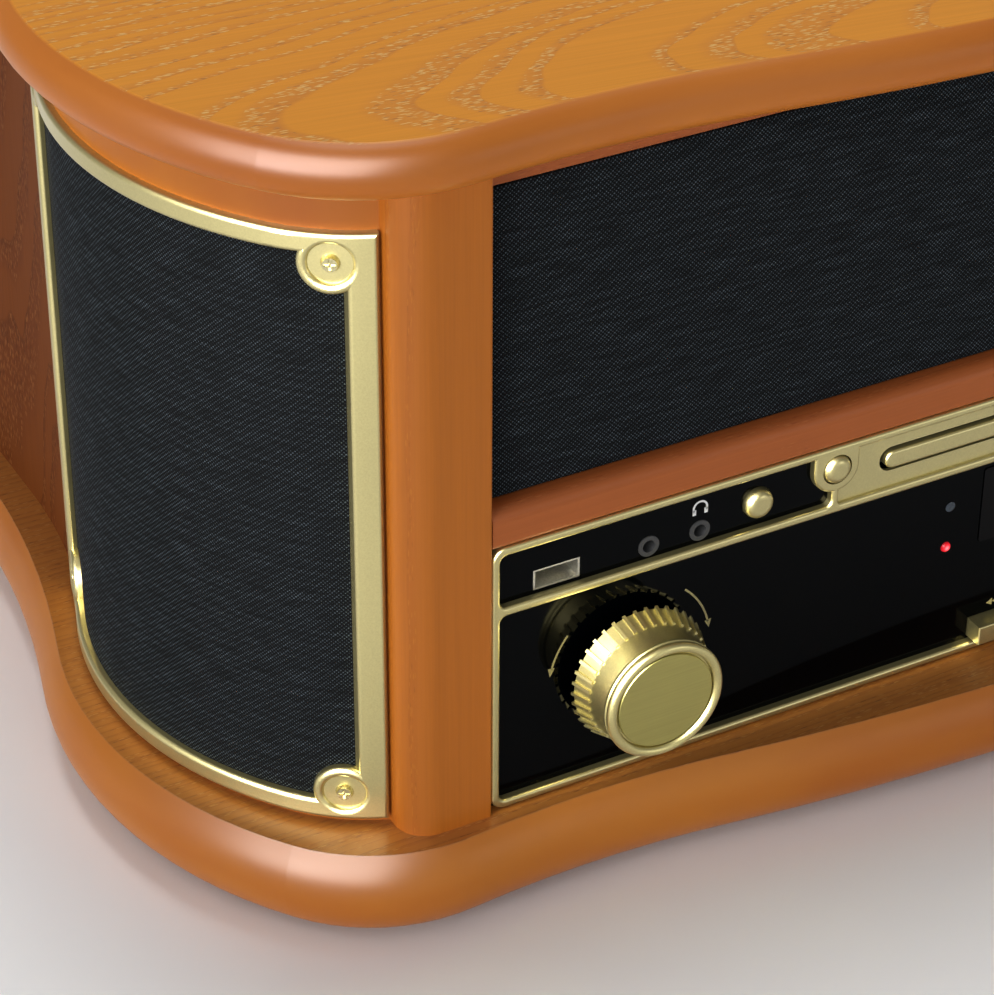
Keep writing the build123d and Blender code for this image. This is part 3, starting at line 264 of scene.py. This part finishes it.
# %% [markdown]
# The rolled edges and the corner columns are solid wood under thick stain, so they show soft clouds
# and no pores. A slab has the veneer on its face and the stained wood round its edge, and the two
# meet at the arris. Each board below has its own heart line, turned along its grain.

# %% Solid edges, slabs and panels of oak
LACQUER_IOR = 1.45
EDGE_DROP = 0.15 * MM


def lacquered_edge(tree, place, codes, grain_scale):
    """Colour of a solid rolled edge under thick stain: soft clouds drawn out along the grain."""
    cloud = noise(tree, scaled(tree, place, grain_scale), 3.0, 0.55)
    return add(tree, "ValToRGB", {0: cloud}, stops=[(0.3, codes[0]), (0.7, codes[1])]).outputs[0]


def finish_wood(tree, colour, height, relief, strength, roughness, shine):
    """Lacquer over the wood. The height is a socket, the relief its depth in metres."""
    bump = add(tree, "Bump", {"Height": height, "Distance": relief, "Strength": strength})
    finish_material(tree, colour, bump, Roughness=roughness, IOR=LACQUER_IOR, Specular_IOR_Level=shine)


def wood_slab(name, colours, edge_codes, level, heart, turn, tilt, ring, roughness, shine):
    """Veneered face above a level, in metres, and stained rolled edge below it."""
    material, tree = new_material(name)
    place = add(tree, "TexCoord").outputs["Object"]
    face, height = veneer_colour(tree, place, colours, heart, turn, tilt, ring)
    edge = lacquered_edge(tree, place, edge_codes, (9, 9, 30))
    high = add(tree, "SeparateXYZ", {0: place}).outputs[2]
    mask = add(tree, "MapRange", {0: high, 1: level - EDGE_DROP, 2: level + EDGE_DROP}).outputs[0]
    finish_wood(tree, mixed(tree, mask, edge, face), calc(tree, "MULTIPLY", mask, height),
                RELIEF, 0.5, roughness, shine)
    return material


def wood_panel(name, colours, heart, turn, tilt, ring, roughness, shine):
    """Veneer all over, for a flat panel or a post."""
    material, tree = new_material(name)
    place = add(tree, "TexCoord").outputs["Object"]
    colour, height = veneer_colour(tree, place, colours, heart, turn, tilt, ring)
    finish_wood(tree, colour, height, RELIEF, 0.5, roughness, shine)
    return material


def stained_solid(name, codes, roughness, shine):
    """Solid wood under thick stain, with no open grain."""
    material, tree = new_material(name)
    place = add(tree, "TexCoord").outputs["Object"]
    colour = lacquered_edge(tree, place, codes, (25, 25, 6))
    fibre = noise(tree, scaled(tree, place, (1 / FIBRE_W, 1 / FIBRE_W, 1 / FIBRE_L)), 3.0)
    finish_wood(tree, colour, fibre, 0.02 * MM, 0.4, roughness, shine)
    return material


LID_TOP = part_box("lid")[1].z
PLINTH_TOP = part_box("plinth")[1].z
UPRIGHT = (0, math.radians(-90), 0)
LEVEL = (0, 0, 0)
top_oak = wood_slab(
    "oak_veneer_crown_cut_lacquered",
    colours=["#D68A26", "#CC822C", "#C07628", "#DDB066", "#A86C2C"], edge_codes=["#B0601C", "#C07224"],
    level=LID_TOP - EDGE_DROP, heart=(-0.226, -0.150, LID_TOP + 0.070), turn=(0, 0, math.radians(-8.3)),
    tilt=0.13, ring=3.0 * MM, roughness=0.36, shine=0.24)
base_oak = wood_slab(
    "oak_veneer_base_lacquered",
    colours=["#A86A2E", "#9C602A", "#8C5224", "#B27A3E", "#804A20"], edge_codes=["#AE601C", "#C27624"],
    level=PLINTH_TOP - EDGE_DROP, heart=(0, 0.4, PLINTH_TOP + 0.03), turn=LEVEL,
    tilt=0.04, ring=2.4 * MM, roughness=0.36, shine=0.24)
# The side veneer is painted far darker than the top's, as painted shade for the side faces, and both side
# panels get it.
shaded_side_oak = wood_panel(
    "oak_veneer_side_painted_shade",
    colours=["#6E3B1A", "#643418", "#562C12", "#84522C", "#46220E"],
    heart=(-0.40, 0.05, 0.1), turn=UPRIGHT, tilt=0.05, ring=2.2 * MM, roughness=0.5, shine=0.01)
post_oak = wood_panel(
    "oak_post_stained",
    colours=["#B4661E", "#B0621C", "#AA5E1A", "#B86C20", "#A65C1A"],
    heart=(-0.195, 0.10, 0.1), turn=UPRIGHT, tilt=0.02, ring=6.0 * MM, roughness=0.36, shine=0.16)
rail_oak = wood_panel(
    "oak_rail_stained",
    colours=["#A85A2A", "#A25628", "#9A5024", "#AC6030", "#984E24"],
    heart=(0, 0.10, 0.1), turn=LEVEL, tilt=0.02, ring=6.0 * MM, roughness=0.36, shine=0.16)
column_oak = stained_solid("oak_column_stained", ["#A85C1E", "#B66C22"], roughness=0.38, shine=0.16)
print("wood finishes:", [m.name for m in (top_oak, base_oak, shaded_side_oak, post_oak, rail_oak, column_oak)])

# %% [markdown]
# The trim is moulded ABS under a champagne gold lacquer. Metal flakes in the lacquer make it shine
# like satin metal, and give its highlights a fine grain. The clear coat over them adds a paler
# shine. The knobs have a brushed disc let into the front, which both share because they are mirror
# images of each other.

# %% Gold lacquer
DISC_GOLD = "#9E9553"
FLAKES_PER_M = 2200.0
BRUSHING = (30, 1800, 1800)


def gold_lacquer(name, code, roughness, disc=None):
    """Metallic lacquer with fine flakes. A disc (x, z, radius, depth) in front is dark and brushed."""
    material, tree = new_material(name)
    place = add(tree, "TexCoord").outputs["Object"]
    height = noise(tree, place, 2.0, scale=FLAKES_PER_M)
    broad = noise(tree, place, 2.0, scale=18.0)
    tone = add(tree, "RGB").outputs[0]
    tone.default_value = linear(code)
    if disc:
        x, z, radius, depth = disc
        hair = noise(tree, scaled(tree, place, BRUSHING), 3.0)
        axes = add(tree, "SeparateXYZ", {0: place})
        flat = add(tree, "CombineXYZ", {0: calc(tree, "ABSOLUTE", axes.outputs[0]), 2: axes.outputs[2]})
        far = add(tree, "VectorMath", {0: flat.outputs[0], 1: (x, 0, z)}, operation="DISTANCE")
        inside = calc(tree, "LESS_THAN", far.outputs["Value"], radius)
        face = calc(tree, "MULTIPLY", inside, calc(tree, "LESS_THAN", axes.outputs[1], depth))
        tone = mixed(tree, face, tone, linear(DISC_GOLD))
        height = add(tree, "Mix", {0: face, 2: height, 3: hair}).outputs[0]
    shade = add(tree, "MapRange", {0: height, 1: 0.3, 2: 0.7, 3: 0.93, 4: 1.05})
    colour = add(tree, "VectorMath", {0: tone, 3: shade.outputs[0]}, operation="SCALE")
    rough = add(tree, "MapRange", {0: broad, 3: roughness - 0.04, 4: roughness + 0.04})
    bump = add(tree, "Bump", {"Height": height, "Distance": 0.01 * MM, "Strength": 0.3})
    finish_material(tree, colour.outputs[0], bump, Metallic=1.0, Roughness=rough.outputs[0],
                    Coat_Weight=0.4, Coat_Roughness=0.2)
    return material


KNOB_DISC_R = 13.8 * MM
KNOB_DISC_DEPTH = 1.2 * MM
knob_low, knob_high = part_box("tuning_knob")
knob_x, knob_z = (knob_low.x + knob_high.x) / 2, (knob_low.z + knob_high.z) / 2
gold = gold_lacquer("champagne_gold_lacquer_on_abs", "#B2A774", 0.34)
knob_gold = gold_lacquer("champagne_gold_with_brushed_disc", "#BAAF76", 0.32,
                         (knob_x, knob_z, KNOB_DISC_R, knob_low.y + KNOB_DISC_DEPTH))
print("knob centre", round(knob_x, 4), round(knob_z, 4))

# %% [markdown]
# Plain plastics, metals and boards still vary: moulded plastic has a fine spark-eroded grain, plated
# steel is a little cloudy, and a painted board shows its fibres. One function covers them all,
# because they differ only in colour, grain size, relief and gloss.

# %% Moulded, painted and plated finishes
def grained(name, code, dark_code, grain, depth, roughness, metallic=0.0, scale=(1, 1, 1), **more):
    """Two tones mixed by noise of one grain size, in metres, which also lifts the surface."""
    material, tree = new_material(name)
    place = add(tree, "TexCoord").outputs["Object"]
    fine = noise(tree, scaled(tree, place, tuple(s / grain for s in scale)), 3.0, 0.6)
    slow = noise(tree, place, 2.0, scale=25.0)
    colour = add(tree, "ValToRGB", {0: fine}, stops=[(0.3, dark_code), (0.7, code)])
    rough = add(tree, "MapRange", {0: slow, 3: roughness - 0.05, 4: roughness + 0.05})
    bump = add(tree, "Bump", {"Height": fine, "Distance": depth, "Strength": 0.5})
    finish_material(tree, colour.outputs[0], bump, Metallic=metallic, Roughness=rough.outputs[0], **more)
    return material


black_gloss = grained("black_acrylic_polished", "#020304", "#010203", 30 * MM, 0.002 * MM, 0.07,
                      Specular_IOR_Level=0.04)
black_abs = grained("black_abs_moulded", "#17181A", "#101113", 0.5 * MM, 0.02 * MM, 0.50)
black_rubber = grained("black_rubber_moulded", "#131313", "#0B0B0B", 0.8 * MM, 0.04 * MM, 0.78)
zinc = grained("steel_zinc_plated", "#C9C6BC", "#A8A598", 0.6 * MM, 0.01 * MM, 0.30, 1.0)
golden_zinc = grained("steel_golden_zinc_plated", "#D8CEA4", "#B0A470", 0.5 * MM, 0.01 * MM, 0.22,
                      1.0)
brass = grained("brass_lacquered", "#C79A4C", "#B4883C", 0.7 * MM, 0.01 * MM, 0.28, 1.0)
aluminium = grained("aluminium_turned", "#D2D3D4", "#BFC0C2", 0.4 * MM, 0.01 * MM, 0.26, 1.0)
board_black = grained("fibreboard_black_painted", "#1B1918", "#100F0E", 1.2 * MM, 0.08 * MM, 0.62,
                      scale=(1, 1, 4))
circuit = grained("circuit_board_green", "#1D5A38", "#154A2C", 2.5 * MM, 0.02 * MM, 0.35)
iron = grained("iron_core_varnished", "#3A3A3C", "#28282A", 0.8 * MM, 0.05 * MM, 0.45, 0.6)
cone_paper = grained("paper_cone_black", "#1A1A1C", "#0E0E10", 0.9 * MM, 0.06 * MM, 0.85)

# %% [markdown]
# The window is smoked acrylic, nearly black from outside. The lamp beside it is part of the same
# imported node, so its red is painted where the lamp is: by distance from its centre, pale in the
# middle and dark at the rim.

# %% Smoked window with its red lamp
LED_AT = (-42.5 * MM, 66.4 * MM)
LED_R = 1.7 * MM
smoked, tree = new_material("smoked_acrylic_with_red_lamp")
place = add(tree, "TexCoord").outputs["Object"]
axes = add(tree, "SeparateXYZ", {0: place})
flat = add(tree, "CombineXYZ", {0: axes.outputs[0], 2: axes.outputs[2]})
far = add(tree, "VectorMath", {0: flat.outputs[0], 1: (LED_AT[0], 0, LED_AT[1])}, operation="DISTANCE")
outward = add(tree, "MapRange", {0: far.outputs["Value"], 2: LED_R})
lamp_red = add(tree, "ValToRGB", {0: outward.outputs[0]},
               stops=[(0.0, "#FF8A90"), (0.55, "#E0242F"), (0.97, "#7A0A12"), (1.0, "#020203")])
finish_material(tree, lamp_red.outputs[0], None, Roughness=0.08, Specular_IOR_Level=0.08,
                Emission_Color=lamp_red.outputs[0],
                Emission_Strength=calc(tree, "LESS_THAN", far.outputs["Value"], LED_R))

# %% [markdown]
# The speaker cloth is woven black. Its threads run across and up, and the raised crossings are painted
# pale grey as a painted highlight: a grid of small dots, with a faint slanting rib. Threads are never
# quite alike, so a noise drawn out along them lifts some into the painted highlight. The pattern needs a
# coordinate that runs along the cloth: straight across on the front panel, and round the arc of the
# corner on the bowed ones.

# %% Black speaker cloth
THREAD = 1.1 * MM
RIB = 2.2 * MM
RIB_SLOPE = 0.75
RIB_AMOUNT = 0.18
SLUB_SCALE = (90, 1, 900)
SLUB_AMOUNT = 1.4
CORNER_ARC = (148.9 * MM, -74.6 * MM, 101 * MM)


def twill(name, bow=None):
    """Woven cloth with a painted highlight on its raised crossings. A bow is the centre (x, y) and the
    radius of the arc that it is stretched round.
    """
    material, tree = new_material(name)
    place = add(tree, "SeparateXYZ", {0: add(tree, "TexCoord").outputs["Object"]})
    along = place.outputs[0]
    if bow:
        out = calc(tree, "SUBTRACT", calc(tree, "ABSOLUTE", along), bow[0])
        deep = calc(tree, "SUBTRACT", place.outputs[1], bow[1])
        along = calc(tree, "MULTIPLY", calc(tree, "ARCTAN2", deep, out), -bow[2])
    waves = [calc(tree, "SINE", calc(tree, "MULTIPLY", socket, 2 * math.pi / THREAD))
             for socket in (along, place.outputs[2])]
    weave = calc(tree, "MULTIPLY", *waves)
    slant = calc(tree, "MULTIPLY_ADD", along, -RIB_SLOPE, place.outputs[2])
    ribs = calc(tree, "SINE", calc(tree, "MULTIPLY", slant, 2 * math.pi / RIB))
    blend = calc(tree, "MULTIPLY_ADD", ribs, RIB_AMOUNT, weave)
    flat = add(tree, "CombineXYZ", {0: along, 2: place.outputs[2]})
    slub = noise(tree, scaled(tree, flat.outputs[0], SLUB_SCALE), 2.0)
    uneven = calc(tree, "MULTIPLY_ADD", slub, SLUB_AMOUNT, blend)
    lift = add(tree, "MapRange", {0: uneven, 1: -1.0, 2: 2.6})
    # Painted highlight: the raised crossings and lifted threads go from the black of the thread up to
    # pale grey.
    colour = add(tree, "ValToRGB", {0: lift.outputs[0]},
                 stops=[(0.42, "#010203"), (0.60, "#0C1114"), (0.82, "#545E66")])
    bump = add(tree, "Bump", {"Height": uneven, "Distance": 0.12 * MM, "Strength": 0.6})
    finish_material(tree, colour.outputs[0], bump, Roughness=0.8, Specular_IOR_Level=0.04)
    return material


black_cloth = twill("speaker_cloth_black_twill")
bowed_cloth = twill("speaker_cloth_black_twill_bowed", CORNER_ARC)
print("threads per centimetre:", round(10 * MM / THREAD))

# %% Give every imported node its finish
FINISHES = {
    top_oak: ["lid"],
    base_oak: ["plinth"],
    shaded_side_oak: ["side_panel_left", "side_panel_right"],
    column_oak: ["column_left", "column_right"],
    post_oak: ["pilaster_left", "pilaster_right"],
    rail_oak: ["top_rail", "middle_rail"],
    gold: ["grille_frame_left", "grille_frame_right", "control_bezel",
           "function_button", "band_button", "open_button", "standby_button", "key_back", "key_play",
           "key_stop", "key_forward", "cd_tray_front"],
    golden_zinc: ["grille_screws"],
    knob_gold: ["volume_knob", "tuning_knob"],
    black_gloss: ["control_fascia"],
    smoked: ["display_module"],
    black_cloth: ["front_cloth_panel"],
    bowed_cloth: ["grille_cloth_left", "grille_cloth_right"],
    zinc: ["rotary_encoders", "usb_socket", "cd_traverse", "turntable_motor"],
    brass: ["hinge_cabinet_leaves", "hinge_lid_leaves", "motor_pulley"],
    aluminium: ["platter", "tonearm"],
    black_rubber: ["rubber_feet", "platter_mat", "drive_belt"],
    board_black: ["bottom_panel", "back_panel", "speaker_baffles"],
    circuit: ["main_board"],
    iron: ["power_transformer"],
    cone_paper: ["speaker_drivers"],
    black_abs: ["audio_jacks", "cd_tray", "cd_loader", "cd_spindle", "cd_laser_sled", "turntable_deck",
                "tonearm_base", "tonearm_yoke", "cue_lever", "speed_switch", "mains_inlet",
                "line_out_sockets"],
}
for finish, names in FINISHES.items():
    for name in names:
        nodes[name].data.materials.clear()
        nodes[name].data.materials.append(finish)
dressed = {name for names in FINISHES.values() for name in names}
print("nodes without a finish:", sorted(set(nodes) - dressed))

# %% [markdown]
# Small marks are screen-printed on the glossy panel: a turning arrow on each side of a knob, a pair
# of headphones over one socket, and the plain signs of the keys. Ink has a thickness that a finger
# can feel, so each mark is a thin closed plate that stands on the panel. A mark that follows a line
# is a ribbon swept along its points. Panel places are (x, z) in millimetres.

# %% Marks printed on the panel
PANEL_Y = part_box("control_fascia")[0].y
INK_T = 0.06 * MM
LINE_W = 0.55


def plate(outline, faces):
    """Vertices and faces of a thin closed plate on the panel, from its outline and its polygons."""
    back = [(x * MM, PANEL_Y, z * MM) for x, z in outline]
    front = [(x * MM, PANEL_Y - INK_T, z * MM) for x, z in outline]
    count = len(outline)
    under = [tuple(reversed(face)) for face in faces]
    over = [tuple(count + i for i in face) for face in faces]
    walls = [(i, (i + 1) % count, count + (i + 1) % count, count + i) for i in range(count)]
    return back + front, under + over + walls


def ribbon(points):
    """Outline and polygons of a band as wide as an inked line, along points."""
    left, right = [], []
    for i, (x, z) in enumerate(points):
        ahead, behind = points[min(i + 1, len(points) - 1)], points[max(i - 1, 0)]
        dx, dz = ahead[0] - behind[0], ahead[1] - behind[1]
        half = LINE_W / 2 / math.hypot(dx, dz)
        left.append((x - dz * half, z + dx * half))
        right.append((x + dz * half, z - dx * half))
    outline = right + left[::-1]
    last = len(outline) - 1
    return outline, [(i, i + 1, last - i - 1, last - i) for i in range(len(points) - 1)]


def arc_points(centre, radius, start, end, steps=18):
    """Points on an arc. Angles are in degrees from +X towards +Z."""
    angles = [math.radians(start + (end - start) * i / steps) for i in range(steps + 1)]
    return [(centre[0] + radius * math.cos(a), centre[1] + radius * math.sin(a)) for a in angles]


def rectangle(middle, half_width, half_height):
    """Upright rectangle about a point."""
    low_x, high_x = middle[0] - half_width, middle[0] + half_width
    low_z, high_z = middle[1] - half_height, middle[1] + half_height
    return [(low_x, low_z), (high_x, low_z), (high_x, high_z), (low_x, high_z)], [(0, 1, 2, 3)]


def printed(name, shapes, ink):
    """One piece from several plates, riding on the cabinet."""
    verts, faces = [], []
    for outline, polygons in shapes:
        more_verts, more_faces = plate(outline, polygons)
        faces += [tuple(i + len(verts) for i in face) for face in more_faces]
        verts += more_verts
    mesh = bpy.data.meshes.new(name)
    mesh.from_pydata(verts, [], faces)
    mesh.update()
    shell = bmesh.new()
    shell.from_mesh(mesh)
    bmesh.ops.recalc_face_normals(shell, faces=shell.faces)
    shell.to_mesh(mesh)
    shell.free()
    mesh.materials.append(ink)
    piece = bpy.data.objects.new(name, mesh)
    bpy.context.collection.objects.link(piece)
    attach(piece, "cabinet")
    print(name, "faces:", len(mesh.polygons))


def arrow_head(tip, along, length=2.6, half=1.0):
    """Triangle with its tip at a point, pointing along an angle in degrees."""
    a = math.radians(along)
    base = (tip[0] - length * math.cos(a), tip[1] - length * math.sin(a))
    outline = [tip, (base[0] - half * math.sin(a), base[1] + half * math.cos(a)),
               (base[0] + half * math.sin(a), base[1] - half * math.cos(a))]
    return outline, [(0, 1, 2)]


gold_ink = grained("gold_ink_screen_printed", "#A89C5E", "#8C8148", 0.3 * MM, 0.004 * MM, 0.5)
white_ink = grained("white_ink_screen_printed", "#E9EAEA", "#D2D4D6", 0.3 * MM, 0.004 * MM, 0.5)

# %% Turning arrows beside the knobs
ARROW_R = 24.0
ARROW_SWEEPS = ((48, 13), (141, 166))
TIP_SWEEP = 5
arrows = []
for side in (-1, 1):
    centre = (side * knob_x / MM, knob_z / MM)
    for start_angle, end_angle in ARROW_SWEEPS:
        turn_way = math.copysign(1, end_angle - start_angle)
        tip_angle = end_angle + TIP_SWEEP * turn_way
        tip = arc_points(centre, ARROW_R, start_angle, tip_angle)[-1]
        arrows.append(ribbon(arc_points(centre, ARROW_R, start_angle, end_angle)))
        arrows.append(arrow_head(tip, tip_angle + 90 * turn_way))
printed("knob_arrows", arrows, gold_ink)

# %% Headphones over the socket, and the eye of the remote sensor
PHONES_AT = (-121.4, 104.0)
BAND_R = 2.0
CUP_OUT = 1.75
CUP_Z = 102.9
CUP_HALF = (0.5, 0.8)
marks = [ribbon(arc_points(PHONES_AT, BAND_R, 205, -25))]
marks += [rectangle((PHONES_AT[0] + side * CUP_OUT, CUP_Z), *CUP_HALF) for side in (-1, 1)]
printed("headphone_mark", marks, white_ink)

SENSOR_AT = (-42.1, 79.2)
SENSOR_R = 1.5
SENSOR_SIDES = 24
sensor_plastic = grained("infrared_filter_moulded", "#34424E", "#1C252D", 1.2 * MM, 0.01 * MM, 0.2)
last_corner = 360 * (SENSOR_SIDES - 1) / SENSOR_SIDES
eye = arc_points(SENSOR_AT, SENSOR_R, 0, last_corner, SENSOR_SIDES - 1)
printed("sensor_eye", [(eye, [tuple(range(SENSOR_SIDES))])], sensor_plastic)

# %% Plain signs over the keys
KEY_MARK_Z = 42.6
SEEK_L = 1.9
SEEK_HALF = 1.1
SEEK_OUT = 2.0
PLAY_L = 2.3
PLAY_HALF = 1.2
PLAY_OUT = 1.3
STOP_HALF = 1.1


def middle_x(name):
    """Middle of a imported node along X, in millimetres."""
    low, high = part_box(name)
    return (low.x + high.x) / 2 / MM


signs = []
for step in (0, 1):
    inset = SEEK_OUT - SEEK_L * step
    signs.append(arrow_head((middle_x("key_back") - inset, KEY_MARK_Z), 180, SEEK_L, SEEK_HALF))
    signs.append(arrow_head((middle_x("key_forward") + inset, KEY_MARK_Z), 0, SEEK_L, SEEK_HALF))
signs.append(arrow_head((middle_x("key_play") + PLAY_OUT, KEY_MARK_Z), 0, PLAY_L, PLAY_HALF))
signs.append(rectangle((middle_x("key_stop"), KEY_MARK_Z), STOP_HALF, STOP_HALF))
printed("key_marks", signs, gold_ink)

# %% [markdown]
# The rubber mat carries fine raised rings that hold a record clear of it. They all have the same
# section and differ only in radius, which is a job for Geometry Nodes: one circle is placed once for
# each ring, scaled to its radius, and given a round section.

# %% Raised rings on the mat
RING_COUNT = 22
RING_FIRST = 52 * MM
RING_PITCH = 2.4 * MM
RING_W = 0.9 * MM
RING_SIDES = 96
SECTION_SIDES = 8

rings = bpy.data.node_groups.new("mat_rings", "GeometryNodeTree")
rings.is_modifier = True
rings.interface.new_socket("Geometry", in_out="OUTPUT", socket_type="NodeSocketGeometry")
RING_INPUTS = {"Count": RING_COUNT, "First radius": RING_FIRST, "Pitch": RING_PITCH,
               "Section radius": RING_W / 2}
ring_ids = {}
for label, value in RING_INPUTS.items():
    kind = "NodeSocketInt" if isinstance(value, int) else "NodeSocketFloat"
    ring_ids[label] = rings.interface.new_socket(label, in_out="INPUT", socket_type=kind).identifier
inputs = rings.nodes.new("NodeGroupInput").outputs
output = rings.nodes.new("NodeGroupOutput")
row = rings.nodes.new("GeometryNodeMeshLine")
row.inputs["Offset"].default_value = (0, 0, 0)
circle = rings.nodes.new("GeometryNodeCurvePrimitiveCircle")
circle.inputs["Resolution"].default_value = RING_SIDES
circle.inputs["Radius"].default_value = 1.0
number = rings.nodes.new("GeometryNodeInputIndex")
radius = rings.nodes.new("ShaderNodeMath")
radius.operation = "MULTIPLY_ADD"
place_rings = rings.nodes.new("GeometryNodeInstanceOnPoints")
real = rings.nodes.new("GeometryNodeRealizeInstances")
section = rings.nodes.new("GeometryNodeCurvePrimitiveCircle")
section.inputs["Resolution"].default_value = SECTION_SIDES
tube = rings.nodes.new("GeometryNodeCurveToMesh")
paint = rings.nodes.new("GeometryNodeSetMaterial")
paint.inputs["Material"].default_value = black_rubber
for source, target in (
        (inputs["Count"], row.inputs["Count"]),
        (number.outputs[0], radius.inputs[0]),
        (inputs["Pitch"], radius.inputs[1]),
        (inputs["First radius"], radius.inputs[2]),
        (row.outputs[0], place_rings.inputs["Points"]),
        (circle.outputs[0], place_rings.inputs["Instance"]),
        (radius.outputs[0], place_rings.inputs["Scale"]),
        (place_rings.outputs[0], real.inputs[0]),
        (real.outputs[0], tube.inputs["Curve"]),
        (inputs["Section radius"], section.inputs["Radius"]),
        (section.outputs[0], tube.inputs["Profile Curve"]),
        (tube.outputs[0], paint.inputs["Geometry"]),
        (paint.outputs[0], output.inputs[0])):
    rings.links.new(source, target)
maker = bpy.data.objects.new("ring_maker", bpy.data.meshes.new("ring_maker"))
bpy.context.collection.objects.link(maker)
modifier = maker.modifiers.new("rings", "NODES")
modifier.node_group = rings
for label, value in RING_INPUTS.items():
    modifier[ring_ids[label]] = value
made = maker.evaluated_get(bpy.context.evaluated_depsgraph_get())
ring_mesh = bpy.data.meshes.new_from_object(made)
bpy.data.objects.remove(maker)
mat_low, mat_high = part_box("platter_mat")
mat_x, mat_y = (mat_low.x + mat_high.x) / 2, (mat_low.y + mat_high.y) / 2
ring_mesh.transform(Matrix.Translation((mat_x, mat_y, mat_high.z)))
mat_rings = bpy.data.objects.new("mat_rings", ring_mesh)
bpy.context.collection.objects.link(mat_rings)
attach(mat_rings, "platter")
print("mat rings, faces:", len(ring_mesh.polygons))
